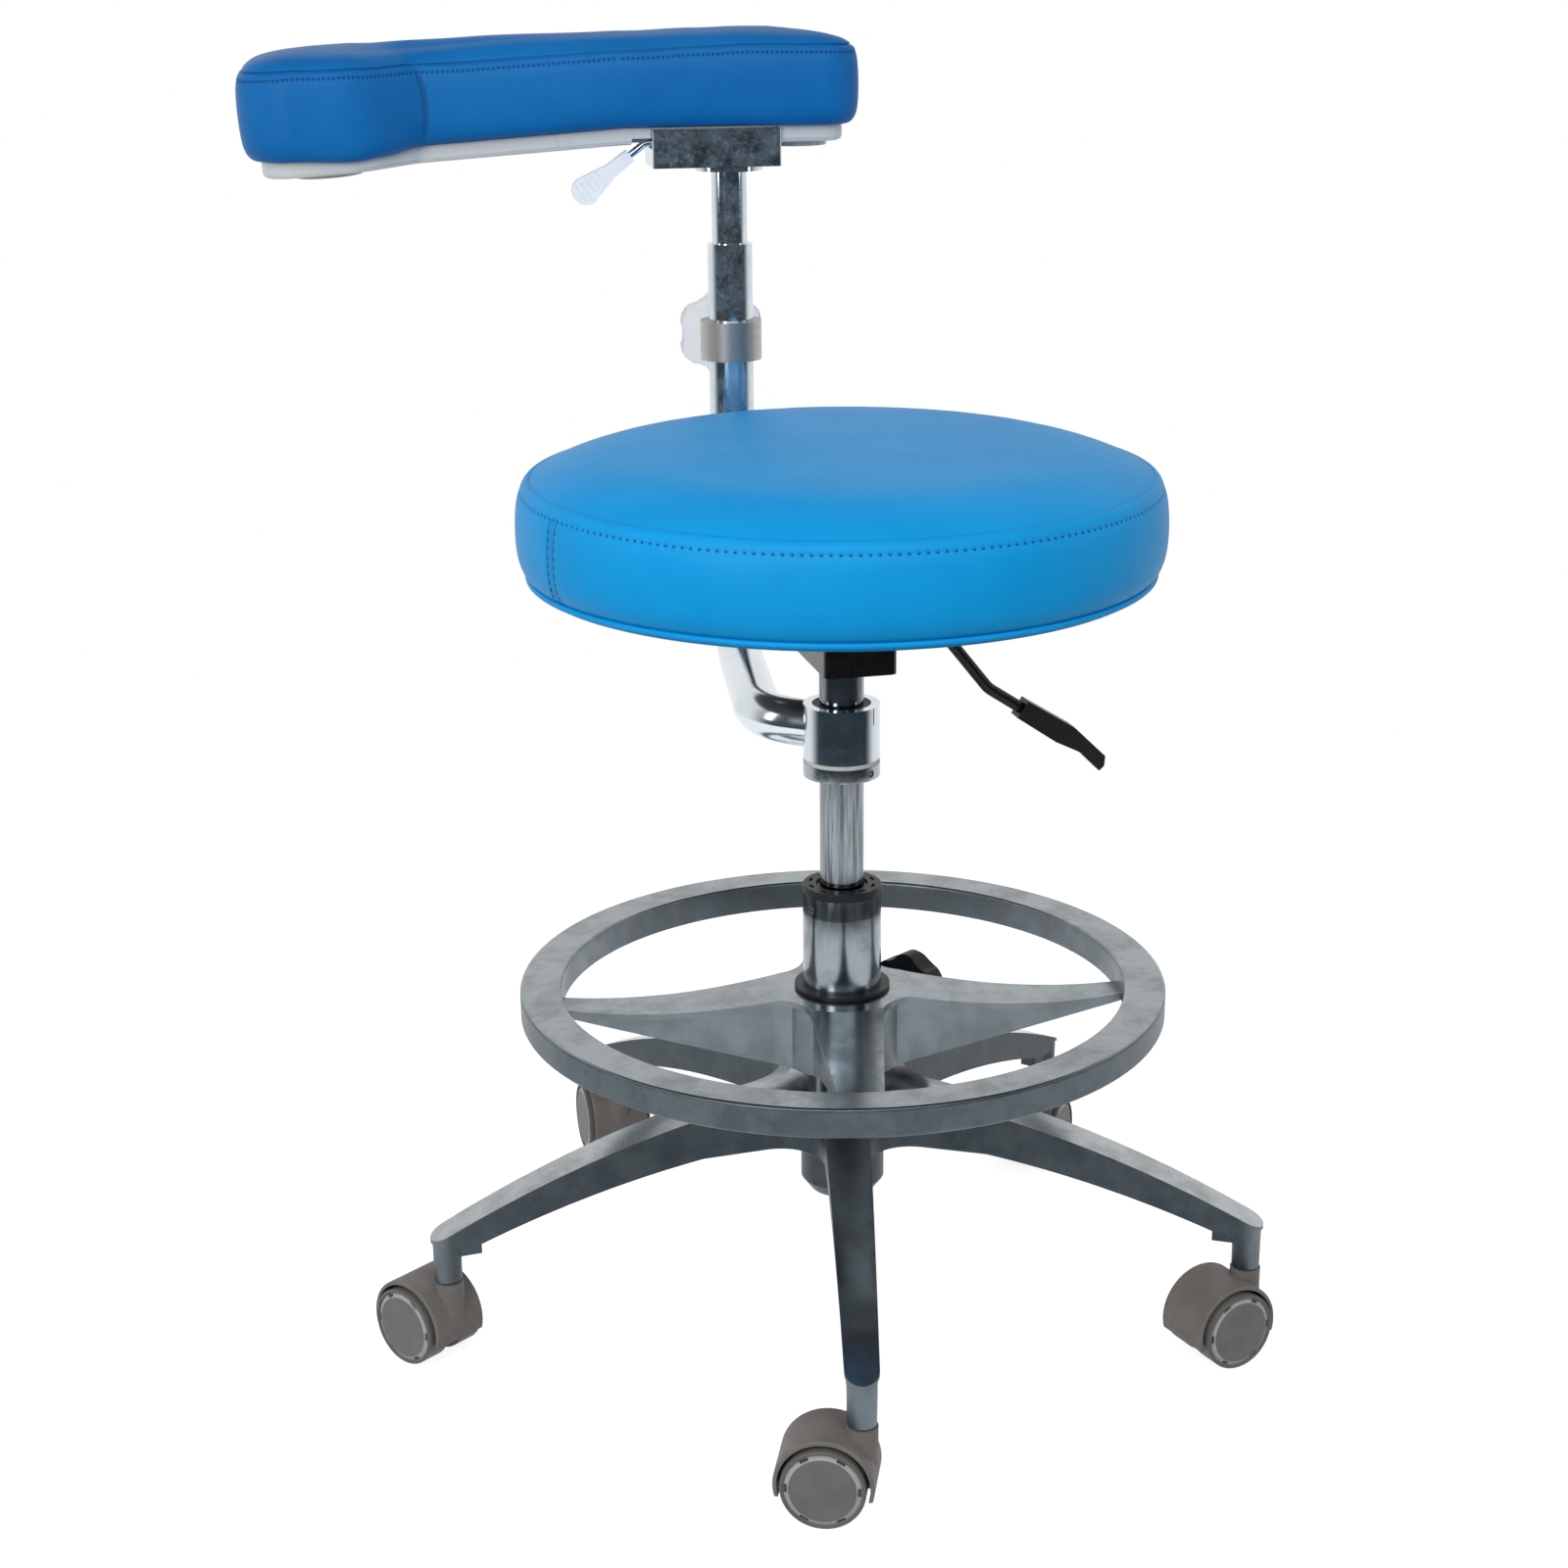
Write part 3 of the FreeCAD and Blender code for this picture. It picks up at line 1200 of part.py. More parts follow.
save("seat_bolts", *[moved(moved(bolt, 0, spot), housing_azimuth) for spot in bolt_spots])
recess_radius = board_radius + soft_clearance
recess_level = board_top + soft_clearance
low_bulge = (seat_radius - 0.28 * seat_edge_inset, seat_bottom + 0.4 * seat_widest_rise)
high_bulge = (seat_radius - 0.22 * seat_seam_inset, 0.45 * seat_widest + 0.55 * seat_seam)
soft_edge = (seat_seam_radius - 0.36 * (seat_seam_radius - crown_radius), 0.38 * seat_seam + 0.62 * crown_edge)
crown_sphere = (crown_radius ** 2 + crown_rise ** 2) / (2 * crown_rise)
half_crown = crown_radius / 2
crown = (half_crown, seat_top - crown_sphere + math.sqrt(crown_sphere ** 2 - half_crown ** 2))
seat_cushion = turned([(0, recess_level),
                       (recess_radius, recess_level),
                       (recess_radius, seat_bottom),
                       (seat_edge_radius, seat_bottom),
                       low_bulge + (seat_radius, seat_widest),
                       high_bulge + (seat_seam_radius, seat_seam),
                       soft_edge + (crown_radius, crown_edge),
                       crown + (0, seat_top)])
save("seat_cushion", seat_cushion)
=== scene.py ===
import math

import bmesh
import bpy
from mathutils import Matrix, Vector
from mathutils.bvhtree import BVHTree
from mathutils.kdtree import KDTree


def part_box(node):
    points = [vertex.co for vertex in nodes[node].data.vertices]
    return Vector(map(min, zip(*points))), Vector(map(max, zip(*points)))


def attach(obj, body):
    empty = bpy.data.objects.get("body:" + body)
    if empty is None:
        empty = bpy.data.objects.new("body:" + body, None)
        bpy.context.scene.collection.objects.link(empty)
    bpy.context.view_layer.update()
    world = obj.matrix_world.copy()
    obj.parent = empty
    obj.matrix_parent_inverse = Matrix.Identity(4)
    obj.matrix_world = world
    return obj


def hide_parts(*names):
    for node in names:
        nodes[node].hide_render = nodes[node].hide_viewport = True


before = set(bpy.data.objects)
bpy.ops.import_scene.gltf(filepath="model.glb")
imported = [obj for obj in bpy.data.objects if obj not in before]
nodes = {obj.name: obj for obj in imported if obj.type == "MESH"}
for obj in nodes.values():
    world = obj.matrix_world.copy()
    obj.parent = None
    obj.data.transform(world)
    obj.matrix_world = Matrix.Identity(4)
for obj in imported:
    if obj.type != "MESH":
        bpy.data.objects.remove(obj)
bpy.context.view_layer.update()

scene = bpy.context.scene


# Camera
# A short telephoto at seated eye height, a little left of the stool's middle.
# It looks down on the seat, with the slight roll of a hand-levelled tripod.
lens_pixels = 2826.1
frame_pixels = 1600
sensor_width = 36
camera_place = (-0.0680, -1.6551, 0.8848)
yaw, pitch, roll = math.radians(-1.10), math.radians(17.75), math.radians(-0.49)
camera = bpy.data.objects.new("camera", bpy.data.cameras.new("camera"))
scene.collection.objects.link(camera)
camera.data.sensor_width = sensor_width
camera.data.lens = lens_pixels * sensor_width / frame_pixels
camera.matrix_world = (Matrix.Translation(camera_place)
                       @ Matrix.Rotation(yaw, 4, "Z")
                       @ Matrix.Rotation(math.pi / 2 - pitch, 4, "X")
                       @ Matrix.Rotation(roll, 4, "Z"))
scene.camera = camera
scene.view_settings.view_transform = "Standard"


# Studio
# A white paper sweep stands behind and beside the stool, and the room on the camera's side is dark.
# Soft boxes light it from above the camera, from beside it and, more weakly, from both sides.
class Value:
    """A shader socket; sums and products with it become Math nodes."""

    def __init__(self, socket):
        self.socket = socket

    def node(self, kind, settings, inputs, output=0):
        """Adds a node: its settings first, then the values or links of its sockets."""
        tree = self.socket.id_data
        made = tree.nodes.new("ShaderNode" + kind)
        for name, setting in settings.items():
            if name == "stops":
                ramp = made.color_ramp.elements
                while len(ramp) < len(setting):
                    ramp.new(1.0)
                for stop, (position, colour) in zip(ramp, setting):
                    stop.position = position
                    stop.color = (*colour, 1)
            else:
                setattr(made, name, setting)
        for name, given in inputs.items():
            feed(made.inputs[name], given)
        return Value(made.outputs[output])

    def maths(self, operation, *others):
        inputs = dict(enumerate((self, *others)))
        return self.node("Math", {"operation": operation}, inputs)

    def __add__(self, other):
        return self.maths("ADD", other)

    def __sub__(self, other):
        return self.maths("SUBTRACT", other)

    def __rsub__(self, other):
        return self.node("Math", {"operation": "SUBTRACT"}, {0: other, 1: self})

    def __mul__(self, other):
        return self.maths("MULTIPLY", other)

    __radd__ = __add__
    __rmul__ = __mul__


def feed(socket, given):
    """Links a socket to a value, or sets it to a number or a colour."""
    if isinstance(given, Value):
        socket.id_data.links.new(given.socket, socket)
    elif isinstance(given, tuple) and socket.type == "RGBA":
        socket.default_value = (*given, 1)
    else:
        socket.default_value = given


def ramp(value, low, high, start=0.0, end=1.0):
    """Smooth step of a value from one number to another."""
    settings = {"interpolation_type": "SMOOTHSTEP"}
    inputs = {"Value": value, "From Min": low, "From Max": high, "To Min": start, "To Max": end}
    return value.node("MapRange", settings, inputs)


def mixed(share, first, second):
    """Colour between two colours."""
    return share.node("Mix", {"data_type": "RGBA"}, {0: share, 6: first, 7: second}, 2)


def noise(place, scale, detail=3.0, roughness=0.5):
    """Clouded value, mostly between 0.3 and 0.7, with a number of clouds to the metre."""
    inputs = {"Vector": place, "Scale": scale, "Detail": detail, "Roughness": roughness}
    return place.node("TexNoise", {}, inputs)


def spread(clouds, start=0.0, end=1.0):
    """Smooth step over the middle of a noise's range."""
    noise_low, noise_high = 0.3, 0.7
    return ramp(clouds, noise_low, noise_high, start, end)


def shaded(colour, share):
    """A colour made darker, or lighter, by a share."""
    return tuple(part * share for part in colour)


def stretched(place, x, y, z):
    """The place with its axes scaled, for grain that runs one way."""
    return place.node("VectorMath", {"operation": "MULTIPLY"}, {0: place, 1: (x, y, z)})


def part_of(place, axis):
    """One coordinate of a place or a direction."""
    return place.node("SeparateXYZ", {}, {0: place}, axis)


def new_finish(name):
    """An empty material, and the place on its piece in metres."""
    material = bpy.data.materials.new(name)
    material.use_nodes = True
    coordinates = material.node_tree.nodes.new("ShaderNodeTexCoord")
    return material, Value(coordinates.outputs["Object"])


def facing(place):
    """The way a surface faces, in its piece's own axes."""
    return Value(place.socket.node.outputs["Normal"])


def finished(material, inputs, relief=None):
    """Sets the material's shader, with a relief given in millimetres."""
    shader = material.node_tree.nodes["Principled BSDF"]
    for name, given in inputs.items():
        feed(shader.inputs[name], given)
    if relief is not None:
        feed(shader.inputs["Normal"], relief.node("Bump", {}, {"Height": relief, "Distance": 0.001}))
    return material


def put_on(material, *names):
    """Gives CAD nodes a material."""
    for name in names:
        for place in nodes[name].material_slots:
            place.material = material


black, white = (0, 0, 0), (1, 1, 1)
paper_grey = (0.42, 0.42, 0.42)
paper_glow = 0.86
floor_radius = 1.15
floor_sides = 96
floor_mesh = bpy.data.meshes.new("floor")
floor_shape = bmesh.new()
bmesh.ops.create_circle(floor_shape, cap_ends=True, radius=floor_radius, segments=floor_sides)
floor_shape.to_mesh(floor_mesh)
floor_shape.free()
floor = bpy.data.objects.new("floor", floor_mesh)
scene.collection.objects.link(floor)
floor_paper, floor_place = new_finish("floor_paper")
rays = floor_paper.node_tree.nodes.new("ShaderNodeLightPath")
seen = Value(rays.outputs["Is Camera Ray"]) + Value(rays.outputs["Is Glossy Ray"])
seen = seen + Value(rays.outputs["Is Transmission Ray"])
finished(floor_paper, {"Base Color": paper_grey, "Roughness": 0.9, "Specular IOR Level": 0.0,
                       "Emission Color": mixed(seen, black, white), "Emission Strength": paper_glow})
floor_mesh.materials.append(floor_paper)

sweep_start, sweep_end = -0.30, 0.40
ceiling_start, ceiling_end = 0.55, 0.80
ceiling_share = 0.96
room_dark = (0.026, 0.040, 0.052)
room_bounce = (0.30, 0.31, 0.32)
sky = bpy.data.worlds.new("studio")
sky.use_nodes = True
scene.world = sky
background = sky.node_tree.nodes["Background"]
sky_way = Value(sky.node_tree.nodes.new("ShaderNodeTexCoord").outputs["Generated"])
sky_rays = sky.node_tree.nodes.new("ShaderNodeLightPath")
behind = ramp(part_of(sky_way, "Y"), sweep_start, sweep_end)
overhead = ramp(part_of(sky_way, "Z"), ceiling_start, ceiling_end)
room = mixed(behind * (1 - overhead * ceiling_share), room_dark, white)
bounced = Value(sky_rays.outputs["Is Diffuse Ray"])
lit = mixed(bounced, room, room_bounce)
feed(background.inputs["Color"], mixed(Value(sky_rays.outputs["Is Camera Ray"]), lit, white))

# Each soft box has its place, its aim, its width and height in metres and its power in watts
soft_boxes = {
    "key": ((0.0, -2.02, 2.28), (0.0, 0.0, 0.45), 3.4, 2.2, 52),
    "front": ((-1.05, -1.5, 1.05), (-0.2, 0.0, 0.65), 0.5, 0.8, 10),
    "left": ((-1.9, -0.4, 1.2), (0.0, 0.1, 0.5), 0.4, 1.5, 6),
    "right": ((1.9, -0.4, 1.2), (0.0, 0.1, 0.5), 0.4, 1.5, 4),
}
for name, (spot, target, width, height, power) in soft_boxes.items():
    lamp = bpy.data.lights.new("soft_box_" + name, "AREA")
    lamp.shape = "RECTANGLE"
    lamp.size = width
    lamp.size_y = height
    lamp.energy = power
    soft_box = bpy.data.objects.new("soft_box_" + name, lamp)
    soft_box.location = spot
    soft_box.rotation_euler = (Vector(target) - Vector(spot)).to_track_quat("-Z", "Y").to_euler()
    scene.collection.objects.link(soft_box)


# Casters
# Twin-wheel casters moulded in warm grey plastic: a hood over two wheels, each closed by a snap-in cap.
# They swing on plated steel stems pushed into the ends of the base's arms.
plastic_sheen = 0.35
grain_pale = (0.30, 0.285, 0.275)


def moulded_grey(name, colour, shade, roughness):
    """Finely textured moulded plastic with a faint cloud in its colour."""
    material, place = new_finish(name)
    cloud = spread(noise(place, 55.0, 4.0))
    grain = noise(place, 1100.0, 3.0, 0.6)
    tone = mixed(cloud, colour, shade)
    finished(material, {"Base Color": mixed(ramp(grain, 0.45, 0.75, 0.0, 0.25), tone, grain_pale),
                        "Roughness": spread(noise(place, 210.0), roughness - 0.05, roughness + 0.07),
                        "Specular IOR Level": plastic_sheen}, grain * 0.12)
    return material


caster_count = 5
hood_grey = moulded_grey("hood_grey", (0.132, 0.118, 0.111), (0.165, 0.148, 0.140), 0.55)
cap_slope_inner, cap_slope_outer = 0.0196, 0.0226
cap_rim = 0.0231
slot_floor = 0.0016
cap_blend, tread_blend = 0.0004, 0.0003
cap_tone, cap_shade = (0.122, 0.119, 0.115), (0.145, 0.140, 0.136)
tread_olive = (0.098, 0.099, 0.086)
# A pale painted on the cap's slope as a highlight, and a near black painted inside the slots as shade
slope_painted_highlight = (0.36, 0.37, 0.37)
slot_painted_shade = (0.012, 0.012, 0.012)


def wheel_grey(wheel, twin):
    """Wheel plastic: a slope round the cap painted pale as a highlight, slots in it painted dark as shade,
    and a dusty olive tread.
    """
    centres = []
    for node in (wheel, twin):
        low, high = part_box(node)
        centres.append((low + high) / 2)
    outward = (centres[0] - centres[1]).normalized()
    face = max((point.co - centres[0]).dot(outward) for point in nodes[wheel].data.vertices)
    material, place = new_finish("grey_" + wheel)
    arm = place.node("VectorMath", {"operation": "SUBTRACT"}, {0: place, 1: tuple(centres[0])})
    axial = place.node("VectorMath", {"operation": "DOT_PRODUCT"}, {0: arm, 1: tuple(outward)}, "Value")
    length = place.node("VectorMath", {"operation": "LENGTH"}, {0: arm}, "Value")
    radius = (length * length - axial * axial).maths("SQRT")
    cloud = spread(noise(place, 70.0, 4.0))
    grain = noise(place, 1100.0, 3.0, 0.6)
    slope = ramp(radius, cap_slope_inner, cap_slope_inner + cap_blend)
    slope = slope * ramp(radius, cap_slope_outer, cap_rim, 1.0, 0.0)
    tread = ramp(radius, cap_rim, cap_rim + tread_blend)
    # Inside the slots, below the cap's face, the colour is painted near black as shade.
    slot = slope * ramp(axial, face - slot_floor - cap_blend, face - slot_floor, 1.0, 0.0)
    colour = mixed(cloud, cap_tone, cap_shade)
    colour = mixed(tread, colour, tread_olive)
    # The slope round the cap is painted pale as a highlight.
    colour = mixed(slope, colour, slope_painted_highlight)
    finished(material, {"Base Color": mixed(slot, colour, slot_painted_shade),
                        "Roughness": ramp(slope, 0.0, 1.0, 0.50, 0.32),
                        "Specular IOR Level": plastic_sheen}, grain * 0.08)
    return material


stem_steel, stem_place = new_finish("stem_steel")
finished(stem_steel, {"Base Color": (0.55, 0.56, 0.57), "Metallic": 1.0,
                      "Roughness": spread(noise(stem_place, 400.0), 0.25, 0.4)})
put_on(stem_steel, "caster_stems")
for number in range(1, caster_count + 1):
    caster = f"caster_{number}_"
    put_on(hood_grey, caster + "hood")
    put_on(stem_steel, caster + "axle")
    for side, other in (("left", "right"), ("right", "left")):
        put_on(wheel_grey(caster + "wheel_" + side, caster + "wheel_" + other), caster + "wheel_" + side)


# Star base
# One aluminium casting with five arms. The crowns of the arms are linished and buffed, and painted paler
# as light; the sides keep the blue-grey cast skin, with handling stains.
def cast_aluminium(name, skin_dark, skin_pale, lit_buffed_pale, lit_buffed_dull,
                   brushed_from, brushed_to, brushed_tone):
    """Stained casting: buffed and painted paler as light where it faces up, cast skin on its sides, brushed
    paler past a radius.
    """
    material, place = new_finish(name)
    # Where it faces up the colour is paler: partly the buffed finish, partly painted light.
    buffed_lit = ramp(part_of(facing(place), "Z"), 0.55, 0.82)
    stain = noise(place, 38.0, 7.0, 0.62)
    blot = ramp(noise(place, 95.0, 6.0, 0.68), 0.55, 0.70)
    flow = noise(place, 420.0, 4.0, 0.6)
    skin = mixed(ramp(stain, 0.32, 0.70), skin_dark, skin_pale)
    skin = mixed(blot * 0.4, skin, shaded(skin_dark, 0.7))
    buffed_lit_colour = mixed(ramp(stain, 0.40, 0.68), lit_buffed_pale, lit_buffed_dull)
    buffed_lit_colour = mixed(blot * 0.4, buffed_lit_colour, shaded(lit_buffed_dull, 0.7))
    reach = place.node("VectorMath", {"operation": "LENGTH"}, {0: stretched(place, 1.0, 1.0, 0.0)}, "Value")
    brushed = mixed(ramp(stain, 0.35, 0.65), brushed_tone, shaded(brushed_tone, 0.72))
    skin = mixed(ramp(reach, brushed_from, brushed_to) * 0.6, skin, brushed)
    dull = ramp(stain, 0.35, 0.7)
    roughness = (1 - buffed_lit) * (0.40 + 0.08 * dull) + buffed_lit * (0.18 + 0.08 * dull)
    finished(material, {"Base Color": mixed(buffed_lit, skin, buffed_lit_colour), "Metallic": 1.0, "Roughness": roughness},
             flow * (0.10 - 0.08 * buffed_lit))
    return material


base_casting = cast_aluminium("base_casting",
                              skin_dark=(0.043, 0.057, 0.067), skin_pale=(0.074, 0.090, 0.100),
                              lit_buffed_pale=(0.42, 0.445, 0.46), lit_buffed_dull=(0.315, 0.325, 0.325),
                              brushed_from=0.262, brushed_to=0.272, brushed_tone=(0.22, 0.26, 0.285))
put_on(base_casting, "star_base")


# Column and gas spring
# A drawn steel column, plated and buffed, stands in the base's taper. The ground cylinder of the gas spring
# slides in the black guide bush in its mouth, which a small flush screw keys near the column's top.
def black_plastic(name, colour, roughness):
    """Black moulding or paint with a thin film of dust."""
    material, place = new_finish(name)
    dust = ramp(noise(place, 90.0, 5.0), 0.45, 0.8, 0.0, 0.5)
    grain = noise(place, 900.0, 2.0)
    finished(material, {"Base Color": mixed(dust, colour, shaded(colour, 1.8)),
                        "Roughness": spread(grain, roughness - 0.05, roughness + 0.06),
                        "Specular IOR Level": 0.3}, grain * 0.04)
    return material


column_band_bottom = 0.2708
column_band_blend = 0.0006
column_pale, column_dull, column_band_dark = (0.27, 0.315, 0.34), (0.18, 0.205, 0.22), (0.115, 0.132, 0.144)
column_steel, column_place = new_finish("column_steel")
column_rub = noise(stretched(column_place, 1.0, 1.0, 0.10), 190.0, 5.0)
column_smear = ramp(noise(column_place, 46.0, 6.0, 0.6), 0.45, 0.68)
column_band = ramp(part_of(column_place, "Z"), column_band_bottom - column_band_blend,
                   column_band_bottom + column_band_blend)
column_colour = mixed(column_smear, column_pale, column_dull)
finished(column_steel, {"Base Color": mixed(column_band, column_colour, column_band_dark), "Metallic": 1.0,
                        "Roughness": spread(column_rub, 0.13, 0.24)}, column_rub * 0.02)
put_on(column_steel, "column_tube")

ground_steel, ground_place = new_finish("ground_steel")
ground_rub = noise(stretched(ground_place, 1.0, 1.0, 0.05), 480.0, 4.0)
ground_colour = mixed(ramp(ground_rub, 0.35, 0.7), (0.27, 0.305, 0.33), (0.13, 0.15, 0.165))
finished(ground_steel, {"Base Color": ground_colour, "Metallic": 1.0,
                        "Roughness": spread(ground_rub, 0.11, 0.18)}, ground_rub * 0.012)
put_on(ground_steel, "gas_cylinder", "piston_rod", "thrust_bearing", "rod_clip", "valve_button")
bush_black = black_plastic("bush_black", (0.010, 0.011, 0.012), 0.40)
put_on(bush_black, "column_guide_bush")


def skinned(name, rings):
    """Mesh over rings of points, top to bottom, with each ring's vertex numbers; equal points become one."""
    shape = bmesh.new()
    corner_at = {}
    rows = []
    for ring in rings:
        row = []
        for point in ring:
            key = tuple(round(part, 7) for part in point)
            if key not in corner_at:
                corner_at[key] = shape.verts.new(point)
            row.append(corner_at[key])
        rows.append(row)
    for upper, lower in zip(rows, rows[1:]):
        for step in range(len(upper)):
            corners = dict.fromkeys((upper[step - 1], lower[step - 1], lower[step], upper[step]))
            if len(corners) > 2:
                shape.faces.new(corners)
    shape.verts.index_update()
    numbers = [[corner.index for corner in row] for row in rows]
    mesh = bpy.data.meshes.new(name)
    shape.to_mesh(mesh)
    shape.free()
    return mesh, numbers


def turned_rings(profile, steps):
    """Rings about the upright axis through (radius, height) points."""
    turns = [2 * math.pi * step / steps for step in range(steps)]
    rings = []
    for radius, height in profile:
        rings.append([(radius * math.cos(turn), radius * math.sin(turn), height) for turn in turns])
    return rings


def lathe(name, profile, steps):
    """Mesh turned about the upright axis from (radius, height) points, top to bottom."""
    return skinned(name, turned_rings(profile, steps))[0]


def new_piece(name, mesh, material, body):
    """A smooth-shaded piece that rides on a body."""
    piece = bpy.data.objects.new(name, mesh)
    scene.collection.objects.link(piece)
    mesh.materials.clear()
    mesh.materials.append(material)
    mesh.shade_smooth()
    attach(piece, body)
    return piece


key_screw_azimuth = math.radians(-143)
key_screw_height = 0.2755
key_screw_sides = 24
column_radius = 0.025
# Profile of the screw's head as (radius, height over the column)
key_screw_head = [(0.0, 0.00001), (0.0007, 0.00001), (0.0009, 0.00003), (0.0018, 0.00003), (0.0021, 0.0),
                  (0.0021, -0.0006), (0.0, -0.0006)]
key_screw_mesh = lathe("column_key_screw", key_screw_head, key_screw_sides)
for point in key_screw_mesh.vertices:
    turn = key_screw_azimuth + point.co.y / column_radius
    reach = column_radius + point.co.z
    point.co = (reach * math.cos(turn), reach * math.sin(turn), key_screw_height - point.co.x)
key_screw = new_piece("column_key_screw", key_screw_mesh, ground_steel, "base")


# Foot ring
# A second casting with four T-shaped spokes, buffed and painted paler as light on top like the base.
# It slides on the column in a black sleeve and is held by a black lobed knob.
ring_casting = cast_aluminium("ring_casting",
                              skin_dark=(0.078, 0.101, 0.116), skin_pale=(0.132, 0.156, 0.170),
                              lit_buffed_pale=(0.295, 0.325, 0.345), lit_buffed_dull=(0.21, 0.23, 0.24),
                              brushed_from=0.195, brushed_to=0.180, brushed_tone=(0.31, 0.355, 0.385))
put_on(ring_casting, "foot_ring")
put_on(bush_black, "foot_ring_bush", "foot_ring_knob")
put_on(stem_steel, "foot_ring_screw")


# Swinging arm
# Chromed collars on the cylinder, with a white washer between them, carry a thick chromed tube that bends
# back and up. A plain turned clamp collar with a frosted knob holds the thinner mast at its height.
scuff_blend = 0.02
# Blue painted into the hazy patches as a reflection of the seat, and the pale of dried drops
haze_reflection_blue, drop_pale = (0.42, 0.57, 0.68), (0.58, 0.68, 0.75)


def chrome(name, colour, spots, scuffed_below=0.0):
    """Bright plating with dried drops, hazy patches tinted with a painted blue reflection, a faint waviness,
    scuffed dull below a height.
    """
    material, place = new_finish(name)
    scuff = ramp(part_of(place, "Z"), scuffed_below - scuff_blend, scuffed_below + scuff_blend, 1.0, 0.0)
    drops = ramp(noise(place, 330.0, 6.0, 0.72), 0.48, 0.74) * (spots - spots * 0.9 * scuff)
    haze = ramp(noise(place, 75.0, 6.0, 0.68), 0.30, 0.68) * (spots - spots * 0.7 * scuff)
    # The hazy patches are tinted blue: a painted reflection of the seat.
    tone = mixed(haze * 0.6, colour, haze_reflection_blue)
    roughness = 0.035 + 0.13 * scuff + 0.06 * haze + 0.10 * drops
    finished(material, {"Base Color": mixed(drops * 0.6, tone, drop_pale),
                        "Metallic": 1 - (0.16 * haze + 0.16 * drops), "Roughness": roughness},
             noise(place, 110.0, 2.0) * 0.012)
    return material


plating_pale = (0.66, 0.71, 0.745)
tube_scuffed_below = 0.50
tube_chrome = chrome("tube_chrome", plating_pale, 0.8, tube_scuffed_below)
collar_chrome = chrome("collar_chrome", plating_pale, 0.25)
put_on(tube_chrome, "arm_tube", "mast")
put_on(collar_chrome, "arm_collar")
put_on(chrome("stop_chrome", (0.36, 0.40, 0.42), 0.25), "stop_collar")
put_on(stem_steel, "stop_collar_screw", "arm_knob_screw")
put_on(bush_black, "arm_collar_bush")

nylon_white, nylon_place = new_finish("nylon_white")
nylon_cloud = spread(noise(nylon_place, 300.0))
finished(nylon_white, {"Base Color": mixed(nylon_cloud, (0.74, 0.73, 0.67), (0.66, 0.65, 0.60)),
                       "Roughness": 0.5, "Subsurface Weight": 0.15}, noise(nylon_place, 800.0) * 0.03)
put_on(nylon_white, "swivel_washer")

turned_nickel, turned_place = new_finish("turned_nickel")
turned_lines = noise(stretched(turned_place, 0.02, 0.02, 1.0), 2600.0, 3.0)
turned_colour = mixed(spread(turned_lines), (0.50, 0.49, 0.475), (0.42, 0.415, 0.405))
finished(turned_nickel, {"Base Color": turned_colour, "Metallic": 1.0,
                         "Roughness": spread(turned_lines, 0.38, 0.46)}, turned_lines * 0.006)
put_on(turned_nickel, "clamp_collar")

frosted_white, frosted_place = new_finish("frosted_white")
frosted_cloud = spread(noise(frosted_place, 90.0))
finished(frosted_white, {"Base Color": mixed(frosted_cloud, (0.88, 0.91, 0.95), (0.93, 0.95, 0.97)),
                         "Roughness": 0.26, "Transmission Weight": 0.7, "IOR": 1.40},
         noise(frosted_place, 500.0) * 0.02)
put_on(frosted_white, "arm_knob")


# Ratchet head
# A chromed box on the mast's top houses the pawl and the toothed wheel. The pawl's rod comes out
# at its left end and carries a ribbed white paddle.
head_chrome = chrome("head_chrome", (0.56, 0.62, 0.66), 1.0)
put_on(head_chrome, "ratchet_housing", "ratchet_cover")
put_on(collar_chrome, "pawl_lever", "pawl_pin")
put_on(stem_steel, "ratchet_gear", "gear_bolt")
paddle_white, paddle_place = new_finish("paddle_white")
paddle_cloud = spread(noise(paddle_place, 70.0))
finished(paddle_white, {"Base Color": mixed(paddle_cloud, (0.80, 0.85, 0.90), (0.83, 0.88, 0.925)),
                        "Roughness": spread(noise(paddle_place, 300.0), 0.34, 0.42)},
         noise(paddle_place, 700.0) * 0.01)
put_on(paddle_white, "lever_grip")


# Pad shell
# A glossy white moulding under the cushion, a little scuffed from handling.
# It is screwed to the head from below and has a round boss over each screw.
shell_white, shell_place = new_finish("shell_white")
shell_scuff = ramp(noise(shell_place, 140.0, 5.0), 0.58, 0.75)
finished(shell_white, {"Base Color": mixed(shell_scuff, (0.58, 0.595, 0.605), (0.49, 0.50, 0.505)),
                       "Roughness": ramp(shell_scuff, 0.0, 1.0, 0.22, 0.38)},
         noise(shell_place, 500.0) * 0.02)
put_on(shell_white, "pad_shell")
put_on(stem_steel, "pad_screws")


# Pad cushion
# Foam in a dark blue leatherette cover: a crowned top panel is sewn to a side band,
# and the seam is turned down and topstitched. The band is drawn into a tuck in the inner corner
# and hangs over the shell at the lobe.
pad_base = Vector((-0.06519, 0.21483, 0.7431))
pad_azimuth = math.radians(8.0)
pad_bend = math.radians(-3.7)
pad_bend_place = Vector((-0.072, 0, 0))
# Corners of the outline as (x, y, rounding radius)
pad_corners = [(0.086, -0.030, 0.025), (0.086, 0.065, 0.045), (-0.315, 0.065, 0.045),
               (-0.315, -0.060, 0.036), (-0.238, -0.060, 0.050), (-0.200, -0.030, 0.004)]
pad_spine = (Vector((-0.256, 0.002)), Vector((0.040, 0.0175)))
pad_spine_pitch = 0.006
pad_columns = 600
pad_arc_steps = 24
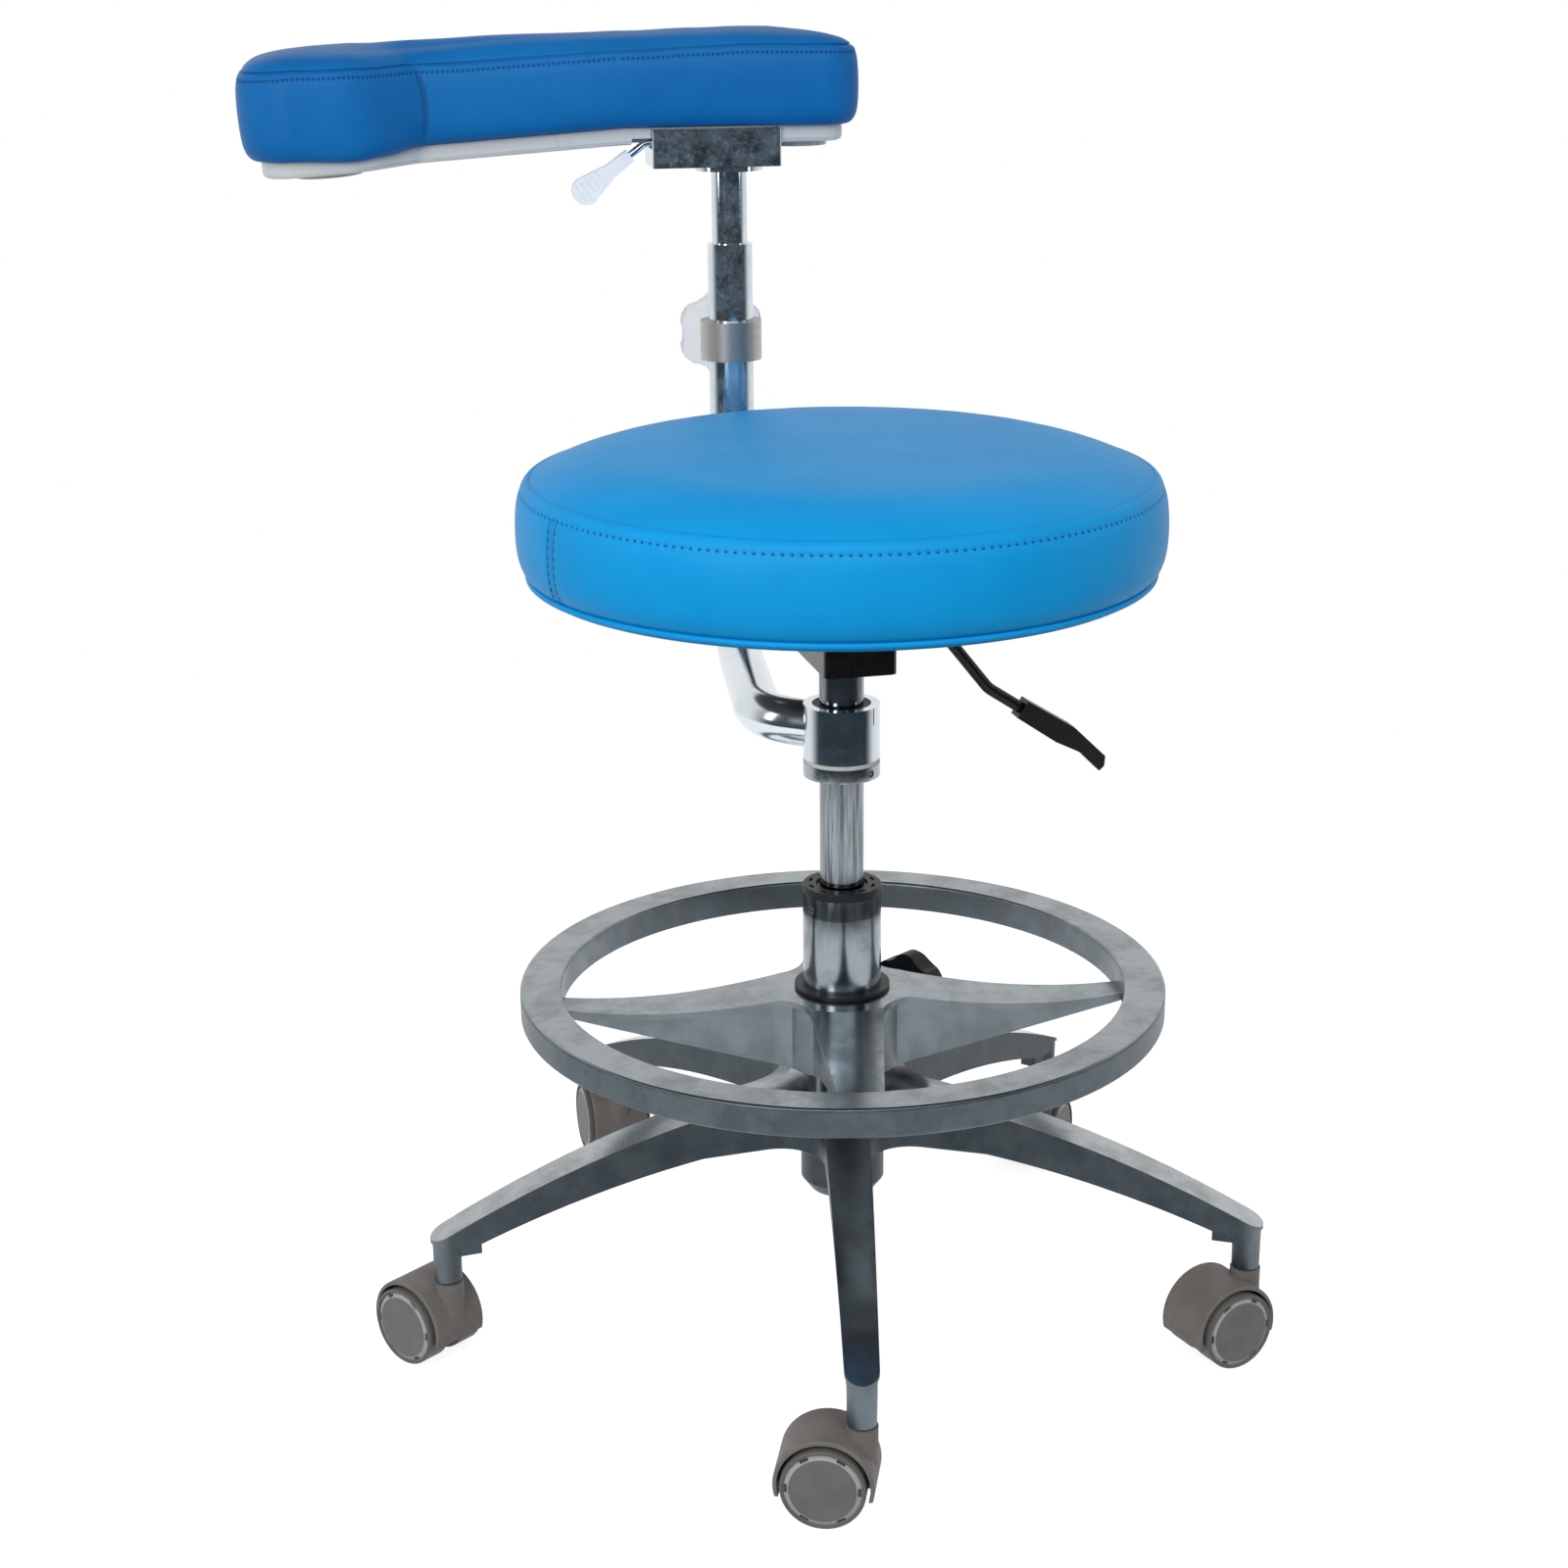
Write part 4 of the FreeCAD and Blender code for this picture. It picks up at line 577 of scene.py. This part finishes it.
# Heights along the pad as (x, height): the seam, the crown over it and the band's droop over the shell
pad_seam_height = [(-0.315, 0.0554), (-0.285, 0.0552), (-0.247, 0.0535), (-0.222, 0.0519), (-0.165, 0.0500),
                   (-0.062, 0.0494), (-0.020, 0.0510), (0.012, 0.0520), (0.050, 0.0515), (0.086, 0.0504)]
pad_crown = [(-0.315, 0.0080), (-0.247, 0.0082), (-0.165, 0.0090), (-0.062, 0.0062), (0.030, 0.0055)]
pad_droop = [(-0.315, 0.0), (-0.285, 0.0015), (-0.245, 0.0045), (-0.225, 0.0036), (-0.203, 0.0008),
             (-0.196, 0.0), (0.0, 0.0), (0.050, 0.0010)]
pad_middle_shares = (1.0, 0.75, 0.5, 0.25)
pad_middle_rise = 0.25
# Rings of the cover: the panel as (share of the crown, inset), the welt as (drop below the seam, inset)
# and the band as (share of the height up to the welt, inset)
pad_panel = [(1.0, 0.024), (0.90, 0.018), (0.70, 0.0125), (0.42, 0.0086), (0.18, 0.0064), (0.03, 0.0052)]
pad_welt = [(0.0005, 0.0060), (0.0009, 0.0046), (0.0017, 0.0034), (0.0029, 0.0025), (0.0043, 0.0020),
            (0.0052, 0.0020), (0.0064, 0.0015)]
pad_band = [(0.94, 0.0009), (0.84, 0.0004), (0.66, 0.0), (0.46, 0.0), (0.28, 0.0003), (0.16, 0.0013),
            (0.08, 0.0030), (0.03, 0.0052), (0.007, 0.0080)]
pad_base_shares = (0.0, 0.5, 1.0)
pad_floor = 0.0003
lip_shares = 3
lip_front, lip_back = -0.02, 0.01
tuck_place = Vector((-0.2002, -0.0300))
tuck_bottom = 0.003
tuck_sway = 0.003
tuck_reach = 0.0028
tuck_depth = 0.0011
short_end = Matrix.Translation(pad_base) @ Matrix.Rotation(pad_azimuth, 4, "Z")
long_end = (short_end @ Matrix.Translation(pad_bend_place) @ Matrix.Rotation(pad_bend, 4, "Y")
            @ Matrix.Translation(-pad_bend_place))
to_long = long_end.inverted()


def along(table, x):
    """Value at a place along the pad, eased between the places given."""
    for (start, first), (end, last) in zip(table, table[1:]):
        if x <= end:
            share = max(0.0, (x - start) / (end - start))
            return first + (last - first) * share * share * (3 - 2 * share)
    return table[-1][1]


def on_pad(place, height):
    """A point of the pad from its place on the base (x, y) and its height over it."""
    return (short_end if place.x > pad_bend_place.x else long_end) @ Vector((place.x, place.y, height))


def pad_outline(count):
    """Evenly spaced (place, inward way) pairs round the pad's widest outline."""
    corners = [Vector(corner[:2]) for corner in pad_corners]
    path = []
    for index, corner in enumerate(corners):
        radius = pad_corners[index][2]
        incoming = (corner - corners[index - 1]).normalized()
        outgoing = (corners[(index + 1) % len(corners)] - corner).normalized()
        turn = -incoming.angle_signed(outgoing)
        start = corner - incoming * (radius * math.tan(abs(turn) / 2))
        inward = Vector((-incoming.y, incoming.x))
        centre = start + inward * math.copysign(radius, turn)
        for step in range(pad_arc_steps + 1):
            spin = Matrix.Rotation(turn * step / pad_arc_steps, 2)
            path.append((centre + spin @ (start - centre), spin @ inward))
    pairs = list(zip(path, path[1:] + path[:1]))
    runs = [(ahead[0] - here[0]).length for here, ahead in pairs]
    pitch = sum(runs) / count
    outline = []
    left = 0.0
    for (here, ahead), run in zip(pairs, runs):
        while left < run and len(outline) < count:
            share = left / run
            outline.append((here[0].lerp(ahead[0], share), here[1].lerp(ahead[1], share).normalized()))
            left += pitch
        left -= run
    return outline


def spine_place(place):
    """The place on the pad's middle line, in even steps, that a column of the cover runs to."""
    start, end = pad_spine
    length = (end - start).length
    run = min(max((place - start).dot(end - start) / length, 0.0), length)
    return start.lerp(end, min(round(run / pad_spine_pitch) * pad_spine_pitch / length, 1.0))


def pad_crowned(spot, rise):
    """A point of the panel, at a share of the crown's height over the seam."""
    return on_pad(spot, along(pad_seam_height, spot.x) + along(pad_crown, spot.x) * rise)


def pad_rings():
    """Rings of the cover from its middle line over the panel, the turned seam and the band to the base."""
    outline = pad_outline(pad_columns)
    panel_inset = pad_panel[0][1]
    rings = []
    for share in pad_middle_shares:
        ring = []
        for place, inward in outline:
            edge = place + inward * panel_inset
            spot = edge.lerp(spine_place(edge), share)
            ring.append(pad_crowned(spot, 1.0 + pad_middle_rise * (1 - (1 - share) ** 2)))
        rings.append(ring)
    for rise, inset in pad_panel:
        rings.append([pad_crowned(place + inward * inset, rise) for place, inward in outline])
    for drop, inset in pad_welt:
        spots = [place + inward * inset for place, inward in outline]
        rings.append([on_pad(spot, along(pad_seam_height, spot.x) - drop) for spot in spots])
    for share, inset in pad_band:
        ring = []
        for place, inward in outline:
            spot = place + inward * inset
            height = (along(pad_seam_height, spot.x) - pad_welt[-1][0]) * share
            forward = min(max((lip_back - spot.y) / (lip_back - lip_front), 0.0), 1.0)
            lip = max(0.0, 1 - share * lip_shares) * forward
            ring.append(on_pad(spot, height - along(pad_droop, spot.x) * lip))
        rings.append(ring)
    for share in pad_base_shares:
        edges = [place + inward * panel_inset for place, inward in outline]
        rings.append([on_pad(edge.lerp(spine_place(edge), share), pad_floor) for edge in edges])
    return rings


leather_sheen = 0.12
# How dark the creases and dents are painted, as shade
crease_painted_shade = 0.45


def leatherette(name, colour, shade):
    """Coated cloth: fine pebbled grain, soft gloss, a slow drift of colour, and painted shade in its creases
    and dents.
    """
    material, place = new_finish(name)
    drift = spread(noise(place, 16.0, 4.0))
    pebble = place.node("TexVoronoi", {}, {"Vector": place, "Scale": 780.0}, "Distance")
    fine = noise(place, 1500.0, 2.0)
    # The depth kept in each crease and dent darkens the colour there as painted shade.
    crease = place.node("Attribute", {"attribute_name": "crease"}, {}, "Fac")
    tone = mixed(drift, colour, shade)
    tone = mixed(ramp(fine, 0.55, 0.8, 0.0, 0.10), tone, shaded(shade, 1.5))
    finished(material, {"Base Color": mixed(crease * crease_painted_shade, tone, shaded(colour, 0.35)),
                        "Roughness": spread(fine, 0.42, 0.50), "Specular IOR Level": leather_sheen},
             0.05 * pebble + 0.03 * fine)
    return material


def applied(piece):
    """Replaces a piece's mesh by what its modifiers make of it."""
    shown = piece.evaluated_get(bpy.context.evaluated_depsgraph_get())
    mesh = bpy.data.meshes.new_from_object(shown)
    piece.modifiers.clear()
    piece.data = mesh
    return mesh


def put_points(mesh, places):
    """Moves all of a mesh's vertices to new places."""
    mesh.vertices.foreach_set("co", [part for place in places for part in place])
    mesh.update()


def evened(moves, near, held):
    """Each movement averaged with its neighbours', as thick foam does; held vertices keep their own."""
    result = []
    for index, move in enumerate(moves):
        if index in held:
            result.append(move)
        else:
            total = move + sum((moves[other] for other in near[index]), Vector())
            result.append(total / (1 + len(near[index])))
    return result


foam_pressure = 4.0
settling_frames = 20
evening_rounds = 10


def swollen(piece, most, sewn_down):
    """Fills a cover as foam does: cloth under pressure, sewn down at some vertices, to a largest movement."""
    start = [point.co.copy() for point in piece.data.vertices]
    piece.vertex_groups.new(name="sewn").add(sewn_down, 1.0, "ADD")
    cloth = piece.modifiers.new("foam", "CLOTH")
    cloth.settings.vertex_group_mass = "sewn"
    cloth.settings.use_pressure = True
    cloth.settings.uniform_pressure_force = foam_pressure
    cloth.settings.effector_weights.gravity = 0
    for step in range(1, settling_frames + 1):
        scene.frame_set(step)
    mesh = applied(piece)
    scene.frame_set(1)
    held = set(sewn_down)
    near = [[] for point in start]
    for edge in mesh.edges:
        first, second = edge.vertices
        near[first].append(second)
        near[second].append(first)
    moves = [point.co - origin for point, origin in zip(mesh.vertices, start)]
    for evening in range(evening_rounds):
        moves = evened(moves, near, held)
    places = []
    for origin, move in zip(start, moves):
        places.append(origin + move * min(1.0, most / max(move.length, most)))
    put_points(mesh, places)
    piece.vertex_groups.clear()


def subdivided(piece):
    """Divides a piece's faces once, by the plain rule that stays quick where many columns meet."""
    smooth = piece.modifiers.new("smooth", "SUBSURF")
    smooth.levels = 1
    smooth.use_limit_surface = False
    applied(piece)


def groove(distance, half_width):
    """Depth of a rounded groove, from 1 at its middle to 0 at its edge."""
    share = min(abs(distance) / half_width, 1.0)
    return (1 - share * share) ** 2


def spots_tree(spots):
    """Finds the nearest of many spots."""
    tree = KDTree(len(spots))
    for index, spot in enumerate(spots):
        tree.insert(spot, index)
    tree.balance()
    return tree


full_crease = 0.0006
dent_depth, dent_reach = 0.00045, 0.0018
pucker_depth, pucker_half_width = 0.00014, 0.0016


def pressed(piece, depth_at):
    """Moves a piece's surface inwards by a depth that depends on the place, and keeps it as its crease, for
    the painted shade there.
    """
    mesh = piece.data
    depths = [depth_at(point.co) for point in mesh.vertices]
    put_points(mesh, [point.co - point.normal * depth for point, depth in zip(mesh.vertices, depths)])
    crease = mesh.attributes.new("crease", "FLOAT", "POINT")
    crease.data.foreach_set("value", [min(depth / full_crease, 1.0) for depth in depths])


def stitch_dent(point, spots, reach):
    """Depth of the dents under a row of stitches, with the puckers that run up and down from them."""
    spot, index, distance = spots.find(point)
    rise = point.z - spot.z
    sideways = math.sqrt(max(distance * distance - rise * rise, 0.0))
    pucker = pucker_depth * groove(sideways, pucker_half_width) * groove(rise, reach)
    return dent_depth * groove(distance, dent_reach) + pucker


def skin_of(piece):
    """A piece's surface, for finding the nearest point on it."""
    places = [point.co for point in piece.data.vertices]
    return BVHTree.FromPolygons(places, [face.vertices for face in piece.data.polygons])


bead_sides, bead_steps = 8, 6
bead_rise = 0.4


def sewn_row(name, skin, points, length, width, material, body):
    """Stitches as flattened beads, each lying in the cover along its row of points."""
    arcs = [math.pi * step / bead_steps for step in range(1, bead_steps)]
    bead = lathe("bead", [(math.sin(arc), math.cos(arc)) for arc in arcs], bead_sides)
    last_ring = (bead_steps - 2) * bead_sides
    corners, faces = [], []
    for point, ahead in points:
        spot, outward, index, distance = skin.find_nearest(point)
        way = (ahead - point).normalized()
        across = outward.cross(way).normalized()
        first = len(corners)
        for place in bead.vertices:
            aside = across * (place.co.x * width / 2)
            above = outward * (place.co.y * width * bead_rise)
            corners.append(spot + aside + above + way * (place.co.z * length / 2))
        for face in bead.polygons:
            faces.append([first + corner for corner in face.vertices])
        for ring in (range(bead_sides - 1, -1, -1), range(last_ring, last_ring + bead_sides)):
            faces.append([first + corner for corner in ring])
    bpy.data.meshes.remove(bead)
    mesh = bpy.data.meshes.new(name)
    mesh.from_pydata(corners, [], faces)
    return new_piece(name, mesh, material, body)


def row_of(spots):
    """Each stitch's place with the next one's, all the way round."""
    return list(zip(spots, spots[1:] + spots[:1]))


def thread(name, colour):
    """Twisted sewing thread, darker in its twist."""
    material, place = new_finish(name)
    twist = noise(place, 2200.0, 2.0)
    finished(material, {"Base Color": mixed(ramp(twist, 0.35, 0.65), colour, shaded(colour, 1.6)),
                        "Roughness": 0.6, "Specular IOR Level": 0.2}, twist * 0.05)
    return material


pad_tone, pad_shade = (0.0035, 0.122, 0.375), (0.0055, 0.142, 0.415)
pad_swell = 0.0025
pad_stitch_in_welt = 5
pad_glued_rows = 5
pad_seam_depth, pad_seam_half_width = 0.0006, 0.0016
pad_pucker_reach = 0.006
pad_stitch_length, pad_stitch_width = 0.0021, 0.0010
pad_cover_rings = pad_rings()
pad_mesh, pad_rows = skinned("pad_cover", pad_cover_rings)
pad_blue = leatherette("pad_blue", pad_tone, pad_shade)
pad = new_piece("pad_cover", pad_mesh, pad_blue, "head")
pad_seam_row = len(pad_middle_shares) + len(pad_panel)
pad_stitch_row = pad_seam_row + pad_stitch_in_welt
pad_sewn = pad_rows[pad_seam_row] + pad_rows[pad_stitch_row] + sum(pad_rows[-pad_glued_rows:], [])
swollen(pad, pad_swell, pad_sewn)
subdivided(pad)
pad_stitch_spots = pad_cover_rings[pad_stitch_row][::2]
pad_seam_spots = spots_tree(pad_cover_rings[pad_seam_row])
pad_dent_spots = spots_tree(pad_stitch_spots)


def pad_depth(point):
    """Turned seam, stitch dents, and the tuck in the inner corner."""
    depth = pad_seam_depth * groove(pad_seam_spots.find(point)[2], pad_seam_half_width)
    depth += stitch_dent(point, pad_dent_spots, pad_pucker_reach)
    place = to_long @ point
    seam = along(pad_seam_height, tuck_place.x)
    if tuck_bottom < place.z < seam:
        sway = tuck_sway * math.sin(math.pi * place.z / seam)
        depth += tuck_depth * groove((place.xy - tuck_place - Vector((sway, 0))).length, tuck_reach)
    return depth


pressed(pad, pad_depth)
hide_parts("pad_cushion")
# The thread is coloured darker than the cover, as painted shade of the dents it lies in.
pad_thread_painted_shade = thread("pad_thread_painted_shade", (0.0015, 0.036, 0.125))
pad_stitches = sewn_row("pad_stitches", skin_of(pad), row_of(pad_stitch_spots),
                        pad_stitch_length, pad_stitch_width, pad_thread_painted_shade, "head")


# Seat
# A round foam cushion on a plywood board, covered in bright blue leatherette: a top panel and a side band,
# joined by a turned and topstitched seam, with a piped lower edge. One upright seam with two rows of stitches
# closes the band. A black pressed housing under it holds the gas spring's cone and the release lever.
seat_tone, seat_shade = (0.0015, 0.275, 0.640), (0.0030, 0.300, 0.680)
# Rings of the cover as (radius, height), from its middle to the base
seat_panel = [(0.0, 0.5698), (0.030, 0.5698), (0.060, 0.5696), (0.085, 0.5692), (0.106, 0.5687),
              (0.125, 0.5680), (0.142, 0.5669), (0.155, 0.5653), (0.167, 0.5627), (0.177, 0.5595),
              (0.1840, 0.5563), (0.1876, 0.5541)]
seat_welt = [(0.1884, 0.5526), (0.1898, 0.5530), (0.1914, 0.5521), (0.1929, 0.5505), (0.1939, 0.5487),
             (0.1945, 0.5470), (0.1947, 0.5460)]
seat_band = [(0.1953, 0.5447), (0.1963, 0.5418), (0.1972, 0.5370), (0.1979, 0.5290), (0.1981, 0.5200),
             (0.1976, 0.5110), (0.1963, 0.5045), (0.1945, 0.5000), (0.1926, 0.4976), (0.1908, 0.4964)]
seat_hem = [(0.1890, 0.4948), (0.1889, 0.4920), (0.1886, 0.4908), (0.1874, 0.4904), (0.1858, 0.4908),
            (0.1846, 0.4920), (0.1844, 0.5000), (0.1842, 0.5042), (0.1780, 0.5042), (0.090, 0.5042),
            (0.0, 0.5042)]
seat_columns = 460
seat_swell = 0.0012
seat_flat_radius = 0.17
seat_seam_depth, seat_seam_half_width = 0.0003, 0.0020
seat_pucker_reach = 0.011
seat_stitch_length, seat_stitch_width = 0.0026, 0.0013
closing_azimuth = math.radians(-150)
closing_half_gap = 0.0035
closing_pitch = 0.0050
closing_bottom, closing_top = 0.4995, 0.5430
closing_row_depth, closing_row_half_width = 0.0006, 0.0022
closing_fold_depth, closing_fold_half_width = 0.0005, 0.0013
closing_stitch_length, closing_stitch_width = 0.0029, 0.0010
piping_radius = 0.1909
piping_height = 0.4944
piping_thickness = 0.0040
piping_steps = 12

seat_rings = turned_rings(seat_panel + seat_welt + seat_band + seat_hem, seat_columns)
seat_mesh, seat_rows = skinned("seat_cover", seat_rings)
seat_blue = leatherette("seat_blue", seat_tone, seat_shade)
seat = new_piece("seat_cover", seat_mesh, seat_blue, "seat")
seat_seam_row = len(seat_panel)
seat_stitch_row = seat_seam_row + len(seat_welt) - 1
seat_under = sum(seat_rows[-len(seat_hem) - 1:], [])
swollen(seat, seat_swell, seat_rows[seat_seam_row] + seat_rows[seat_stitch_row] + seat_under)
subdivided(seat)
seat_stitch_spots = [Vector(point) for point in seat_rings[seat_stitch_row][::2]]
seat_seam_spots = spots_tree(seat_rings[seat_seam_row])
seat_dent_spots = spots_tree(seat_stitch_spots)
closing_stitches = []
closing_radius = max(radius for radius, height in seat_band)
for side in (-1, 1):
    turn = closing_azimuth + side * closing_half_gap / seat_band[-1][0]
    for step in range(int((closing_top - closing_bottom) / closing_pitch) + 1):
        height = closing_bottom + step * closing_pitch
        spot = Vector((closing_radius * math.cos(turn), closing_radius * math.sin(turn), height))
        closing_stitches.append((spot, spot + Vector((0, 0, closing_pitch))))


def closing_distance(point):
    """Distance along the band from its closing seam, far away elsewhere."""
    ahead = point.x * math.cos(closing_azimuth) + point.y * math.sin(closing_azimuth)
    across = point.y * math.cos(closing_azimuth) - point.x * math.sin(closing_azimuth)
    return across if ahead > 0 and point.z < seat_welt[-1][1] else 1.0


def seat_depth(point):
    """Turned seam, stitch dents, and the closing seam's fold between its two sunk rows."""
    if point.z < seat_hem[0][1] or point.xy.length < seat_flat_radius:
        return 0.0
    depth = seat_seam_depth * groove(seat_seam_spots.find(point)[2], seat_seam_half_width)
    depth += stitch_dent(point, seat_dent_spots, seat_pucker_reach)
    across = closing_distance(point)
    depth += closing_row_depth * groove(abs(across) - closing_half_gap, closing_row_half_width)
    return depth + closing_fold_depth * groove(across, closing_fold_half_width)


pressed(seat, seat_depth)
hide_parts("seat_cushion")
seat_skin = skin_of(seat)
# The thread is coloured darker than the cover, as painted shade of the dents it lies in.
seat_thread_painted_shade = thread("seat_thread_painted_shade", (0.0010, 0.060, 0.210))
seat_stitches = sewn_row("seat_stitches", seat_skin, row_of(seat_stitch_spots),
                         seat_stitch_length, seat_stitch_width, seat_thread_painted_shade, "seat")
seat_closing = sewn_row("seat_closing_stitches", seat_skin, closing_stitches,
                        closing_stitch_length, closing_stitch_width, seat_thread_painted_shade, "seat")
piping_profile = []
for step in range(piping_steps + 1):
    turn = 2 * math.pi * step / piping_steps
    piping_profile.append((piping_radius + piping_thickness / 2 * math.cos(turn),
                           piping_height + piping_thickness / 2 * math.sin(turn)))
piping_mesh = lathe("seat_piping", piping_profile, seat_columns // 2)
piping = new_piece("seat_piping", piping_mesh, seat_blue, "seat")

plywood, plywood_place = new_finish("plywood")
plies = ramp(noise(stretched(plywood_place, 0.2, 1.0, 4.0), 160.0, 3.0), 0.35, 0.65)
finished(plywood, {"Base Color": mixed(plies, (0.050, 0.036, 0.026), (0.075, 0.055, 0.040)),
                   "Roughness": 0.7}, plies * 0.05)
put_on(plywood, "seat_board")
put_on(stem_steel, "seat_bolts", "lever_pin")
put_on(black_plastic("box_black", (0.007, 0.007, 0.008), 0.20), "seat_plate")
put_on(black_plastic("lever_black", (0.0045, 0.005, 0.0055), 0.36), "release_lever", "lever_paddle")
